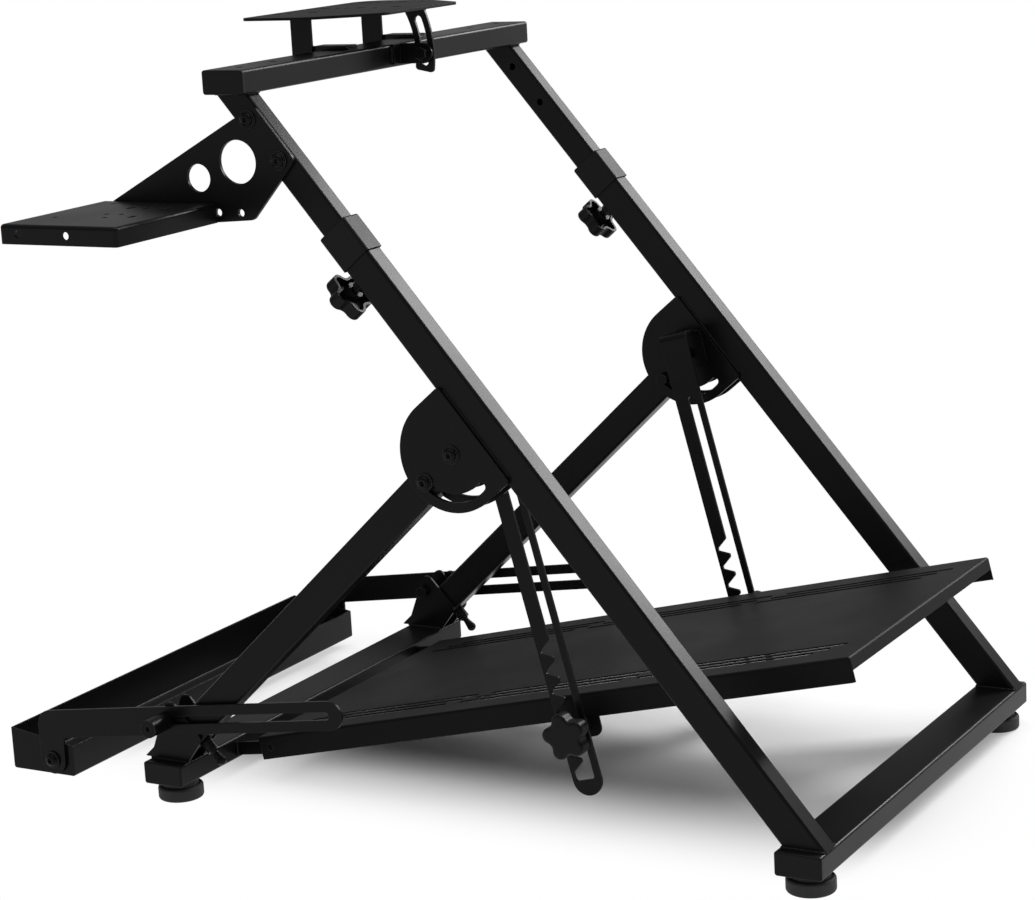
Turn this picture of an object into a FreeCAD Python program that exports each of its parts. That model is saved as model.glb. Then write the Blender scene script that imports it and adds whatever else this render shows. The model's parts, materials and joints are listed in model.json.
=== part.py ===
# Folding steel stand for a racing wheel, its pedals and a shifter.
# x runs forward, away from the driver; y runs to the driver's left; z runs up.
# The origin lies on the floor, on the middle plane, halfway between the front and the rear feet.
import FreeCAD, Part
import Sketcher
import math
import os
from types import SimpleNamespace

SIZES = {
    # Cross bars, laid flat on their feet
    "bar_width": 50,
    "bar_height": 25,
    "bar_wall": 1.5,
    "bar_corner": 3,
    "front_bar_overhang": 24.5,
    "rear_bar_overhang": 30.5,
    "top_bar_overhang": 24.5,
    "bar_hole": 9,
    "bar_hole_inset": 32,
    "bar_hole_pitch": 60,
    "cap_thickness": 5,
    "cap_plug": 12,
    "cap_round": 2,
    "plug_clearance": 0.2,
    "foot_spacing": 750,
    "foot_diameter": 50,
    "foot_height": 22,
    "foot_inset": 31,
    "foot_recess": 14,
    "foot_recess_depth": 6,
    "foot_edge": 3,
    "foot_disc_height": 15,
    "foot_neck": 40,
    # Side frames
    "side_pitch": 539,
    "tube_depth": 35,
    "tube_width": 25,
    "tube_wall": 1.5,
    "tube_corner": 3,
    "upright_angle": 50.1,
    "upright_offset": 2,
    "upright_length": 751,
    "inner_gap": 1,
    "inner_side_gap": 0.5,
    "inner_wall": 1.5,
    "inner_corner": 2.5,
    "inner_insert": 235,
    "inner_reveal": 195.3,
    "collar_length": 42,
    "collar_skirt": 22,
    "collar_proud": 2,
    "collar_round": 2,
    "guide_clearance": 0.4,
    # Height knobs
    "knob_drop": 39,
    "knob_diameter": 50,
    "knob_lobe": 17,
    "knob_valley": 26,
    "knob_rim": 3,
    "knob_hollow": 9,
    "knob_round": 3,
    "knob_thickness": 15,
    "knob_neck": 18,
    "knob_standoff": 16,
    "stud_diameter": 8,
    "nut_diameter": 15,
    "nut_height": 7,
    # Fold pivot
    "pivot_station": 518,
    "pivot_offset": 46,
    "pivot_diameter": 10,
    "pin_clearance": 0.2,
    "plate_thickness": 4,
    "plate_radius": 60,
    "plate_lap": 6,
    "plate_clearance": 0.3,
    "slot_radius": 45,
    "slot_width": 9,
    "slot_sweep": 94,
    "lock_diameter": 8,
    "washer_diameter": 19,
    "washer_thickness": 1.6,
    "head_diameter": 14.5,
    "head_thickness": 4.4,
    "socket_width": 7,
    "socket_depth": 3,
    "plate_corner": 4,
    # Legs
    "leg_overrun": 15,
    "leg_foot_offset": 10,
    "cheek_thickness": 3,
    "cheek_clearance": 0.3,
    "cheek_rise": 60.4,
    "cheek_back": 44,
    "cheek_front": 18,
    "cheek_round": 8,
    "pull_rise": 51.4,
    "pull_boss": 14,
    "pull_boss_length": 14,
    "pull_rod": 6,
    "pull_ball": 11,
    "pull_reach": 28,
    # Pedal deck
    "deck_length": 732,
    "deck_width": 394,
    "deck_sheet": 1.5,
    "deck_flange": 26,
    "deck_angle": 13.2,
    "deck_gap": 30,
    "deck_rise": 4,
    "deck_bend": 3,
    "deck_pin_inset": 15,
    "deck_pin_drop": 13,
    "deck_lip": 14,
    "ear_thickness": 3,
    "ear_height": 15,
    "ear_clearance": 0.6,
    "deck_slot_width": 7,
    "deck_slot_length": 205,
    "deck_slot_pitch": 222,
    "deck_slot_row": 12,
    "deck_slot_edge": 38,
    "deck_slot_stagger": 14,
    "tab_width": 36,
    "tab_margin": 14,
    "tab_round": 10,
    # Hangers
    "hanger_gap": 16,
    "hanger_width": 34,
    "hanger_thickness": 3,
    "hanger_length": 383,
    "hanger_rise": 26,
    "hanger_ear_drop": 18,
    "hanger_bend": 4,
    "hanger_offset": 7,
    "hanger_rear_rail": 3.5,
    "hanger_front_rail": 7.5,
    "tooth_depth": 13,
    "tooth_slope": 5.5,
    "tooth_top": 4,
    "tooth_fall": 9.5,
    "tooth_pitch": 22,
    "tooth_seat": 4,
    "tooth_gap": 0.3,
    "tooth_land": 20,
    "slot_start": 45,
    "pedal_pin_inset": 421.2,
    "pedal_pin_drop": 32.5,
    "pedal_pin_shift": 5,
    "pedal_pin_diameter": 7,
    # Chair stop
    "arm_thickness": 3,
    "arm_clearance": 1.7,
    "arm_width": 32,
    "arm_angle": 8,
    "arm_front": 218,
    "arm_rear": 163,
    "arm_slot_width": 9,
    "arm_bolt_rise": 40,
    "clamp_nut": 20,
    "clamp_nut_length": 30,
    "arm_bolt_back": 26,
    "arm_lug_width": 34,
    "stop_bolt_rise": 18,
    "stop_width": 87,
    "stop_floor": 11.5,
    "stop_rear_wall": 48,
    "stop_front_wall": 35,
    "stop_sheet": 1.5,
    "stop_bolt_front": 27,
    # Shifter
    "shifter_plate": 4,
    "tray_length": 146,
    "tray_width": 171,
    "tray_drop": 111,
    "tray_set_back": 79,
    "tray_flange": 20,
    "tray_sheet": 2,
    "tray_bend": 4,
    "tray_slot_length": 14,
    "tray_slot_width": 6,
    "shifter_bolt_low": 87,
    "shifter_bolt_high": 33,
    "shifter_edge": 12,
    "shifter_toe": 36,
    "big_hole": 45,
    "big_hole_back": 51,
    "big_hole_drop": 2,
    "mid_hole": 29,
    "mid_hole_back": 101,
    "mid_hole_drop": 19,
    "small_hole": 8,
    "small_hole_pitch": 28,
    "small_hole_rise": 10,
    # Wheel deck
    "wheel_deck_rise": 39,
    "wheel_deck_sheet": 3,
    "wheel_deck_rear": 92,
    "wheel_deck_shoulder": 7,
    "wheel_deck_front": 61,
    "wheel_deck_width": 250,
    "wheel_deck_nose": 150,
    "wheel_slot_length": 14,
    "wheel_slot_width": 7,
    "post_thickness": 4,
    "post_set_back": 50,
    "post_inset": 54,
    "post_span": 142,
    "post_foot": 22,
    "post_foot_length": 42,
    "tilt_pin_drop": 47,
    "tilt_pin_diameter": 8,
    "lug_thickness": 3,
    "lug_width": 26,
    "tilt_plate_width": 23,
    "tilt_plate_plane": 8,
    "tilt_slot_width": 9,
    "tilt_slot_up": 19.5,
    "tilt_slot_down": 5,
    "tilt_plate_tail": 10.6,
    "tilt_plate_round": 4,
    "tilt_bolt_reach": 32,
    "tilt_bolt_height": 14,
    "tilt_bracket_height": 22,
    "tilt_sole_width": 16,
}

# Cutting blocks reach well past what they cut
CUTTER = 900.0
# Holes in the shifter tray, as shares of its length and width from its middle
TRAY_HOLES = ((-0.3, -0.19), (-0.3, 0.37), (0.1, -0.16), (0, -0.03), (0.12, -0.02), (0.06, 0.38), (0.11, 0.4))
TRAY_SLOTS = ((0.28, -0.1), (-0.02, 0.23), (0.11, 0.23), (0.28, 0.23))
FLANGE_HOLES = (-0.34, 0.07)
# Holes in the wheel deck, as shares of its rear depth and its width from the bar's middle
WHEEL_HOLES = ((-0.84, -0.3), (-0.72, -0.27), (-0.56, 0.02), (-0.43, 0.02), (0, 0), (-0.57, 0.36), (-0.42, 0.37),
               (0.06, 0.36))
WHEEL_SLOTS = ((-0.52, -0.2), (-0.75, 0.02), (-0.23, 0.02), (0.2, 0.06), (-0.75, 0.36), (-0.24, 0.37))
Y_AXIS = FreeCAD.Vector(0, 1, 0)

doc = FreeCAD.newDocument("wheel_stand")
sheet = doc.addObject("Spreadsheet::Sheet", "Sizes")
for row, (alias, amount) in enumerate(SIZES.items(), 1):
    sheet.set(f"A{row}", alias)
    sheet.set(f"B{row}", str(amount))
    sheet.setAlias(f"B{row}", alias)
doc.recompute()
S = SimpleNamespace(**{alias: float(getattr(sheet, alias)) for alias in SIZES})
nodes = {}


def cell(text):
    """Turn words such as "bar_width - 2*bar_wall" into an expression on the sheet."""
    words = text.replace("*", " * ").replace("/", " / ").replace("(", " ( ").replace(")", " ) ").split()
    return " ".join(f"Sizes.{word}" if word in SIZES else word for word in words)


def spot(x, y, z, elevation=0.0):
    """Placement whose local x axis rises by the elevation, in degrees, in the x-z plane."""
    return FreeCAD.Placement(FreeCAD.Vector(x, y, z), FreeCAD.Rotation(Y_AXIS, -elevation))


def along_y(x, y, z):
    """Placement that turns a tube's or cylinder's length along y."""
    return FreeCAD.Placement(FreeCAD.Vector(x, y, z), FreeCAD.Rotation(FreeCAD.Vector(0, 0, 1), 90))


def new_body(name):
    """Start a body."""
    body = doc.addObject("PartDesign::Body", name)
    body.Label = name
    return body


def new_sketch(body, role, name):
    """Start a sketch on one of a body's own origin planes."""
    drawing = body.newObject("Sketcher::SketchObject", f"{body.Name}_{name}")
    plane = next(item for item in body.Origin.OriginFeatures if item.Role == role)
    drawing.AttachmentSupport = [(plane, "")]
    drawing.MapMode = "FlatFace"
    return drawing


def point(x, y):
    """Sketch point."""
    return FreeCAD.Vector(x, y, 0)


def pin_to(drawing, index, position, x, y):
    """Fix one sketch point at a distance from the sketch's origin."""
    drawing.addConstraint(Sketcher.Constraint("DistanceX", -1, 1, index, position, x))
    drawing.addConstraint(Sketcher.Constraint("DistanceY", -1, 1, index, position, y))


def rectangle(drawing, width, height):
    """Draw a rectangle about the origin, its sides bound to the sheet."""
    half = 10.0
    corners = [point(-half, -half), point(half, -half), point(half, half), point(-half, half)]
    first = drawing.GeometryCount
    for index in range(4):
        drawing.addGeometry(Part.LineSegment(corners[index], corners[(index + 1) % 4]))
    for index in range(4):
        joint = Sketcher.Constraint("Coincident", first + index, 2, first + (index + 1) % 4, 1)
        drawing.addConstraint(joint)
    for index in (0, 2):
        drawing.addConstraint(Sketcher.Constraint("Horizontal", first + index))
        drawing.addConstraint(Sketcher.Constraint("Vertical", first + index + 1))
    drawing.addConstraint(Sketcher.Constraint("Symmetric", first, 1, first + 2, 1, -1, 1))
    sides = ((first, width), (first + 1, height))
    for side, size in sides:
        number = drawing.addConstraint(Sketcher.Constraint("Distance", side, 2 * half))
        drawing.setExpression(f"Constraints[{number}]", cell(size))


def arc(centre, radius, start, end):
    """Round stretch that runs anticlockwise between two angles, in radians."""
    return Part.ArcOfCircle(Part.Circle(centre, FreeCAD.Vector(0, 0, 1), radius), start, end)


def bearing(start, end):
    """Angle from one sketch point to another, in radians."""
    return math.atan2(end.y - start.y, end.x - start.x)


def bend(before, corner, after):
    """Where the outline enters and leaves a corner, with its centre, radius and turning side."""
    here = point(*corner[:2])
    radius = corner[2] if len(corner) > 2 else 0.0
    if radius == 0.0:
        return SimpleNamespace(enter=here, leave=here, radius=0.0)
    back = (point(*before[:2]) - here).normalize()
    ahead = (point(*after[:2]) - here).normalize()
    half = back.getAngle(ahead) / 2
    cut = radius / math.tan(half)
    centre = here + (back + ahead).normalize() * (radius / math.sin(half))
    left = back.x * ahead.y - back.y * ahead.x < 0
    return SimpleNamespace(enter=here + back * cut, leave=here + ahead * cut, radius=radius,
                           centre=centre, left=left)


def outline(drawing, corners):
    """Draw a closed outline, each joint held at its place; a corner is (x, y) or (x, y, radius)."""
    count = len(corners)
    bends = [bend(corners[index - 1], corners[index], corners[(index + 1) % count]) for index in range(count)]
    pieces = []
    for index, corner in enumerate(bends):
        if corner.radius and corner.left:
            turn = arc(corner.centre, corner.radius, bearing(corner.centre, corner.enter),
                       bearing(corner.centre, corner.leave))
            pieces.append((drawing.addGeometry(turn), corner.enter, 1, 2, corner.radius))
        elif corner.radius:
            turn = arc(corner.centre, corner.radius, bearing(corner.centre, corner.leave),
                       bearing(corner.centre, corner.enter))
            pieces.append((drawing.addGeometry(turn), corner.enter, 2, 1, corner.radius))
        ahead = bends[(index + 1) % count].enter
        if (ahead - corner.leave).Length > 1e-6:
            line = Part.LineSegment(corner.leave, ahead)
            pieces.append((drawing.addGeometry(line), corner.leave, 1, 2, 0.0))
    close(drawing, pieces)


def lobed(drawing, lobe, valley):
    """Draw a five-lobed outline: round lobes on a circle, joined by hollows that run into them."""
    reach = (S.knob_diameter - S.knob_lobe) / 2
    tips = [point(reach * math.cos(turn), reach * math.sin(turn)) for turn in fifths(0)]
    dips = [point(S.knob_valley * math.cos(turn), S.knob_valley * math.sin(turn)) for turn in fifths(0.5)]
    pieces = []
    for index in range(5):
        tip = tips[index]
        dip = dips[index]
        ahead = tips[(index + 1) % 5]
        enter = tip + (dips[index - 1] - tip).normalize() * lobe
        leave = tip + (dip - tip).normalize() * lobe
        far = ahead + (dip - ahead).normalize() * lobe
        bulge = arc(tip, lobe, bearing(tip, enter), bearing(tip, leave))
        pieces.append((drawing.addGeometry(bulge), enter, 1, 2, lobe))
        hollow = arc(dip, valley, bearing(dip, far), bearing(dip, leave))
        pieces.append((drawing.addGeometry(hollow), leave, 2, 1, valley))
    close(drawing, pieces)


def fifths(shift):
    """Five even turns in radians, shifted by a share of one step."""
    return [(index + shift) * 2 * math.pi / 5 for index in range(5)]


def close(drawing, pieces):
    """Join an outline's pieces end to end, each start held at its place and each round at its radius."""
    for index, (number, start, first, last, radius) in enumerate(pieces):
        follower = pieces[(index + 1) % len(pieces)]
        drawing.addConstraint(Sketcher.Constraint("Coincident", number, last, follower[0], follower[2]))
        pin_to(drawing, number, first, start.x, start.y)
        if radius:
            drawing.addConstraint(Sketcher.Constraint("Radius", number, radius))


def slot(drawing, start, end, width):
    """Draw a round-ended slot between two centres, its width bound to the sheet."""
    first = point(*start)
    last = point(*end)
    radius = getattr(S, width) / 2
    aim = bearing(first, last)
    side = point(-math.sin(aim), math.cos(aim)) * radius
    quarter = math.pi / 2
    caps = [drawing.addGeometry(arc(first, radius, aim + quarter, aim + 3 * quarter)),
            drawing.addGeometry(arc(last, radius, aim - quarter, aim + quarter))]
    sides = [drawing.addGeometry(Part.LineSegment(first + side, last + side)),
             drawing.addGeometry(Part.LineSegment(last - side, first - side))]
    for line, cap, line_end, cap_end in ((0, 0, 1, 1), (0, 1, 2, 2), (1, 1, 1, 1), (1, 0, 2, 2)):
        drawing.addConstraint(Sketcher.Constraint("Tangent", sides[line], line_end, caps[cap], cap_end))
    drawing.addConstraint(Sketcher.Constraint("Equal", caps[0], caps[1]))
    pin_to(drawing, caps[0], 3, first.x, first.y)
    pin_to(drawing, caps[1], 3, last.x, last.y)
    number = drawing.addConstraint(Sketcher.Constraint("Radius", caps[0], radius))
    drawing.setExpression(f"Constraints[{number}]", cell(f"{width} / 2"))


def circle(drawing, x, y, diameter):
    """Draw a circle whose diameter is bound to the sheet."""
    index = drawing.addGeometry(Part.Circle(point(x, y), FreeCAD.Vector(0, 0, 1), 1.0))
    pin_to(drawing, index, 3, x, y)
    number = drawing.addConstraint(Sketcher.Constraint("Diameter", index, 2.0))
    drawing.setExpression(f"Constraints[{number}]", cell(diameter))


def pad(body, drawing, length, middle=False, back=False):
    """Raise a sketch to a length bound to the sheet."""
    feature = body.newObject("PartDesign::Pad", f"{drawing.Name}_pad")
    feature.Profile = drawing
    feature.setExpression("Length", cell(length))
    feature.Midplane = middle
    feature.Reversed = back
    drawing.Visibility = False
    doc.recompute()
    return feature


def pocket(body, drawing, length, back=False):
    """Cut a sketch to a depth bound to the sheet."""
    feature = body.newObject("PartDesign::Pocket", f"{drawing.Name}_pocket")
    feature.Profile = drawing
    feature.setExpression("Length", cell(length))
    feature.Reversed = back
    doc.recompute()
    return feature


def round_edges(body, feature, radius, chosen):
    """Fillet the edges of a feature that a test picks."""
    names = [f"Edge{number}" for number, edge in enumerate(feature.Shape.Edges, 1) if chosen(edge)]
    fillet = body.newObject("PartDesign::Fillet", f"{feature.Name}_fillet")
    fillet.Base = (feature, names)
    fillet.setExpression("Radius", cell(radius))
    doc.recompute()
    return fillet


def runs_along(axis):
    """Test for straight edges that run along an axis."""
    def test(edge):
        """Compare an edge's direction with the axis."""
        if edge.Curve.TypeId != "Part::GeomLine":
            return False
        return abs(edge.tangentAt(edge.FirstParameter).dot(axis)) > 0.999
    return test


def tube(name, width, depth, wall, corner, length):
    """Rectangular tube along local x, its width along y and its depth along z."""
    body = new_body(name)
    outline = new_sketch(body, "YZ_Plane", "outline")
    rectangle(outline, width, depth)
    solid = pad(body, outline, length)
    round_edges(body, solid, corner, runs_along(FreeCAD.Vector(1, 0, 0)))
    bore = new_sketch(body, "YZ_Plane", "bore")
    rectangle(bore, f"{width} - 2*{wall}", f"{depth} - 2*{wall}")
    pocket(body, bore, length, back=True)
    return body


def block(name, length, width, height, placement):
    """Box with fixed cutting sizes."""
    item = doc.addObject("Part::Box", name)
    item.Length = length
    item.Width = width
    item.Height = height
    item.Placement = placement
    return item


def rod(name, diameter, length, placement):
    """Cylinder along local x, bound to the sheet."""
    item = doc.addObject("Part::Cylinder", name)
    item.setExpression("Radius", cell(f"({diameter}) / 2"))
    item.setExpression("Height", cell(length))
    turn = FreeCAD.Placement(FreeCAD.Vector(0, 0, 0), FreeCAD.Rotation(Y_AXIS, 90))
    item.Placement = placement.multiply(turn)
    return item


def joined(name, pieces):
    """Fuse pieces into one solid."""
    item = doc.addObject("Part::MultiFuse", name)
    item.Shapes = pieces
    return item


def without(name, base, tools):
    """Cut tools out of a piece."""
    item = doc.addObject("Part::Cut", name)
    item.Base = base
    item.Tool = tools[0] if len(tools) == 1 else joined(f"{name}_tools", tools)
    return item


def mirrored(name, source):
    """The same piece on the driver's right."""
    item = doc.addObject("Part::Mirroring", name)
    item.Source = source
    item.Normal = Y_AXIS
    item.Base = FreeCAD.Vector(0, 0, 0)
    return item


def node(name, pieces):
    """Name a sub-part: one piece, or like pieces that share a node."""
    if len(pieces) == 1:
        item = pieces[0]
    else:
        item = doc.addObject("Part::Compound", f"{name}_set")
        item.Links = pieces
    item.Label = name
    nodes[name] = item


def node_pair(name, piece):
    """Name a left piece and its mirror image as two sub-parts."""
    node(f"{name}_left", [piece])
    node(f"{name}_right", [mirrored(f"{name}_mirror", piece)])


def node_both(name, pieces):
    """Name left pieces and their mirror images as one sub-part."""
    node(name, pieces + [mirrored(f"{piece.Name}_mirror", piece) for piece in pieces])


def plate(name, corners, holes, slots, thickness, placement):
    """Flat plate in the x-z plane, its thickness centred on its own plane."""
    body = new_body(name)
    drawing = new_sketch(body, "XZ_Plane", "outline")
    outline(drawing, corners)
    for x, z, diameter in holes:
        circle(drawing, x, z, diameter)
    for start, end, width in slots:
        slot(drawing, start, end, width)
    pad(body, drawing, thickness, middle=True)
    body.Placement = placement
    return body


def on_line(base, elevation, along, across):
    """Point (x, z) along a leaning line and across it."""
    lean = math.radians(elevation)
    x = base[0] + along * math.cos(lean) - across * math.sin(lean)
    z = base[1] + along * math.sin(lean) + across * math.cos(lean)
    return x, z


# Sizes that follow from the tube they fit in
INNER_DEPTH = "tube_depth - 2*tube_wall - 2*inner_gap"
INNER_WIDTH = "tube_width - 2*tube_wall - 2*inner_side_gap"
inner_depth = S.tube_depth - 2 * S.tube_wall - 2 * S.inner_gap
inner_width = S.tube_width - 2 * S.tube_wall - 2 * S.inner_side_gap

# Places worked out from the driving sizes
half_pitch = S.side_pitch / 2
front_x = S.foot_spacing / 2
rear_x = -S.foot_spacing / 2
bar_top = S.foot_height + S.bar_height
lean = 180 - S.upright_angle
upright_base = (front_x + S.upright_offset, bar_top)
pivot = on_line(upright_base, lean, S.pivot_station, S.pivot_offset)
leg_foot = (rear_x - S.leg_foot_offset, bar_top)
leg_lean = math.degrees(math.atan2(leg_foot[1] - pivot[1], leg_foot[0] - pivot[0]))
leg_length = math.hypot(leg_foot[0] - pivot[0], leg_foot[1] - pivot[1])
head_station = S.upright_length + S.inner_reveal
head_x, head_height = on_line(upright_base, lean, head_station, 0)
head_top = head_height + S.bar_height
knob_station = S.upright_length - S.knob_drop
deck_rear = (rear_x + S.bar_width / 2 + S.deck_gap, bar_top + S.deck_rise)
deck_pin = on_line(deck_rear, S.deck_angle, S.deck_pin_inset, -S.deck_pin_drop)
pedal_pin = on_line(deck_rear, S.deck_angle, S.pedal_pin_inset, -S.pedal_pin_drop)
pin_distance = math.hypot(pedal_pin[0] - pivot[0], pedal_pin[1] - pivot[1])
pin_across = S.hanger_offset + S.pedal_pin_shift
pin_reach = math.sqrt(pin_distance ** 2 - pin_across ** 2)
pin_bearing = math.atan2(pedal_pin[1] - pivot[1], pedal_pin[0] - pivot[0])
hanger_lean = math.degrees(pin_bearing - math.atan2(pin_across, pin_reach))
hanger_top = on_line(pivot, hanger_lean, 0, S.hanger_offset)
hanger_plane = S.deck_width / 2 + S.hanger_gap
arm_bolt = on_line(pivot, leg_lean, leg_length - S.arm_bolt_rise, -S.arm_bolt_back)
stop_bolt = (on_line(arm_bolt, S.arm_angle, -S.arm_rear, 0)[0], S.stop_floor + S.stop_bolt_rise)
plate_offset = S.tube_width / 2 + S.plate_clearance + S.plate_thickness / 2
plate_face = plate_offset + S.plate_thickness / 2
cheek_offset = S.tube_width / 2 + S.cheek_clearance + S.cheek_thickness / 2
arm_offset = cheek_offset + S.cheek_thickness / 2 + S.arm_clearance + S.arm_thickness / 2
underside = head_top + S.wheel_deck_rise - S.wheel_deck_sheet
tilt_pin = (head_x - S.post_set_back, underside - S.tilt_pin_drop)
hinge_hole = tilt_pin + ("tilt_pin_diameter + 2*pin_clearance",)
tilt_bolt = (head_x + S.bar_width / 2 + S.tilt_bolt_reach, head_height + S.tilt_bolt_height)
post_near = S.post_inset - S.wheel_deck_width / 2
post_far = post_near + S.post_span


def cross_bar(name, overhang, x, z, tools=()):
    """Tube across the stand with a plastic cap in each end; tools are cut out of it."""
    length = f"side_pitch + 2*{overhang} - 2*cap_thickness"
    bar = tube(f"{name}_tube", "bar_width", "bar_height", "bar_wall", "bar_corner", length)
    half = half_pitch + getattr(S, overhang) - S.cap_thickness
    bar.Placement = along_y(x, -half, z)
    node(name, [without(name, bar, list(tools)) if tools else bar])
    cap = new_body(f"{name}_cap")
    face = new_sketch(cap, "YZ_Plane", "face")
    rectangle(face, "bar_width", "bar_height")
    head = pad(cap, face, "cap_thickness")
    head = round_edges(cap, head, "bar_corner", runs_along(FreeCAD.Vector(1, 0, 0)))
    rim = S.cap_thickness - 1e-3
    round_edges(cap, head, "cap_round", lambda edge: min(vertex.X for vertex in edge.Vertexes) > rim)
    plug = new_sketch(cap, "YZ_Plane", "plug")
    inset = "2*bar_wall - 2*plug_clearance"
    rectangle(plug, f"bar_width - {inset}", f"bar_height - {inset}")
    pad(cap, plug, "cap_plug", back=True)
    cap.Placement = along_y(x, half, z)
    node_both(f"{name}_caps", [cap])


def foot(name, overhang, x):
    """Round rubber feet under a bar's ends, hollowed for their screws."""
    body = new_body(f"{name}_left")
    profile = new_sketch(body, "XZ_Plane", "profile")
    radius = S.foot_diameter / 2
    hollow = S.foot_recess / 2
    outline(profile, [(hollow, 0), (radius, 0, S.foot_edge), (radius, S.foot_disc_height, S.foot_edge),
                      (S.foot_neck / 2, S.foot_disc_height), (S.foot_neck / 2, S.foot_height),
                      (0, S.foot_height), (0, S.foot_recess_depth), (hollow, S.foot_recess_depth)])
    turned(body, profile, "V_Axis")
    body.Placement = spot(x, half_pitch + getattr(S, overhang) - S.foot_inset, 0)
    node_both(name, [body])


def shifted(placement, x, y=0.0, z=0.0):
    """Placement moved in its own frame."""
    return placement.multiply(FreeCAD.Placement(FreeCAD.Vector(x, y, z), FreeCAD.Rotation()))


def turned(body, profile, axis):
    """Revolve a sketch a full turn about one of its own axes."""
    feature = body.newObject("PartDesign::Revolution", f"{body.Name}_turn")
    feature.Profile = profile
    feature.ReferenceAxis = (profile, [axis])
    feature.Angle = 360
    doc.recompute()


def star_knob(name, stud, stud_back, neck_from, placement):
    """Five-lobed hand knob, hollow behind, on a stud along local x that starts behind the seat."""
    body = new_body(f"{name}_star")
    lobe = S.knob_lobe / 2
    reach = (S.knob_diameter - S.knob_lobe) / 2
    turn = math.cos(math.pi / 5)
    span = math.sqrt(reach ** 2 + S.knob_valley ** 2 - 2 * reach * S.knob_valley * turn)
    outside = new_sketch(body, "YZ_Plane", "outside")
    lobed(outside, lobe, span - lobe)
    star = pad(body, outside, "knob_thickness")
    rim = S.knob_thickness - 1e-3
    round_edges(body, star, "knob_round", lambda edge: min(vertex.X for vertex in edge.Vertexes) > rim)
    inside = new_sketch(body, "YZ_Plane", "inside")
    lobed(inside, lobe - S.knob_rim, span - lobe + S.knob_rim)
    circle(inside, 0, 0, "knob_neck")
    pocket(body, inside, "knob_hollow", back=True)
    body.Placement = shifted(placement, S.knob_standoff)
    length = "knob_standoff + knob_hollow"
    shank = rod(f"{name}_stud", stud, f"{length} + {stud_back}", shifted(placement, -stud_back))
    neck = rod(f"{name}_neck", "knob_neck", f"{length} - {neck_from}", shifted(placement, neck_from))
    return joined(name, [body, shank, neck])


def hexagon(name, width, height, placement):
    """Hexagonal prism along local x."""
    item = doc.addObject("Part::Prism", name)
    item.Polygon = 6
    item.setExpression("Circumradius", cell(f"{width} / 2"))
    item.setExpression("Height", cell(height))
    turn = FreeCAD.Placement(FreeCAD.Vector(0, 0, 0), FreeCAD.Rotation(Y_AXIS, 90))
    item.Placement = placement.multiply(turn)
    return item


def hex_nut(name, placement):
    """Hexagon nut along local x."""
    return hexagon(name, "nut_diameter", "nut_height", placement)


def socket(name, base, placement):
    """Sink a hexagon socket into a piece at a face that looks along local x."""
    sink = hexagon(f"{name}_sink", "socket_width", "socket_depth + 1", shifted(placement, -S.socket_depth))
    return without(name, base, [sink])


def side_bolt(name, diameter, centre, inner, outer, nut=True):
    """Socket bolt along y, its washer and round head outside and its nut inside, between two seats."""
    body = new_body(f"{name}_turned")
    profile = new_sketch(body, "XY_Plane", "profile")
    shank = getattr(S, diameter) / 2
    washer = S.washer_diameter / 2
    head = S.head_diameter / 2
    seat = outer - inner
    face = seat + S.washer_thickness
    end = face + S.head_thickness
    outline(profile, [(0, 0), (end, 0), (end, head, head / 2), (face, head), (face, washer),
                      (seat, washer), (seat, shank), (0, shank)])
    turned(body, profile, "H_Axis")
    place = along_y(centre[0], inner, centre[1])
    body.Placement = place
    bolt = socket(f"{name}_bolt", body, shifted(place, end))
    if not nut:
        return bolt
    return joined(name, [bolt, hex_nut(f"{name}_nut", shifted(place, -S.nut_height))])


def side_bore(name, diameter, centre):
    """Cutter for a hole along y on the left side."""
    return rod(name, f"{diameter} + 2*pin_clearance", str(CUTTER), along_y(centre[0], 0, centre[1]))


def below(name, height):
    """Cutter that takes away everything under a height."""
    return block(name, 2 * CUTTER, 2 * CUTTER, CUTTER, spot(-CUTTER, -CUTTER, height - CUTTER))


def above(name, height):
    """Cutter that takes away everything over a height."""
    return block(name, 2 * CUTTER, 2 * CUTTER, CUTTER, spot(-CUTTER, -CUTTER, height))


def arc_slot(name, centre, start, sweep, radius, width):
    """Cutter for a curved slot along y about a centre; start is an elevation, sweep is in degrees."""
    face = FreeCAD.Placement(FreeCAD.Vector(0, CUTTER / 2, 0), FreeCAD.Rotation(FreeCAD.Vector(1, 0, 0), 90))
    rounds = []
    for part, sign in (("outer", "+"), ("inner", "-")):
        item = doc.addObject("Part::Cylinder", f"{name}_{part}")
        item.setExpression("Radius", cell(f"{radius} {sign} {width} / 2"))
        item.Height = CUTTER
        item.Angle = sweep if part == "outer" else 360
        item.Placement = spot(centre[0], 0, centre[1], start).multiply(face)
        rounds.append(item)
    pieces = [without(f"{name}_band", rounds[0], [rounds[1]])]
    for number, elevation in enumerate((start, start + sweep)):
        x, z = on_line(centre, elevation, radius, 0)
        pieces.append(rod(f"{name}_end{number}", width, str(CUTTER), along_y(x, -CUTTER / 2, z)))
    return joined(name, pieces)


def pan_block(name, length, width, height, turn, placement):
    """Block under local z = 0 about local x and y = 0, rounded on its upright and upper edges."""
    body = new_body(name)
    face = new_sketch(body, "XY_Plane", "face")
    rectangle(face, length, width)
    solid = pad(body, face, height, back=True)
    bottom = solid.Shape.BoundBox.ZMin + 1e-3
    round_edges(body, solid, turn, lambda edge: max(vertex.Z for vertex in edge.Vertexes) > bottom)
    body.Placement = placement
    return body


def pan(name, length, width, height, wall, turn, placement):
    """Sheet bent down along its four sides."""
    outer = pan_block(f"{name}_outer", length, width, height, turn, placement)
    inner = pan_block(f"{name}_inner", f"{length} - 2*{wall}", f"{width} - 2*{wall}", height,
                      f"{turn} - {wall}", shifted(placement, 0, 0, -getattr(S, wall)))
    return without(name, outer, [inner])


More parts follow.
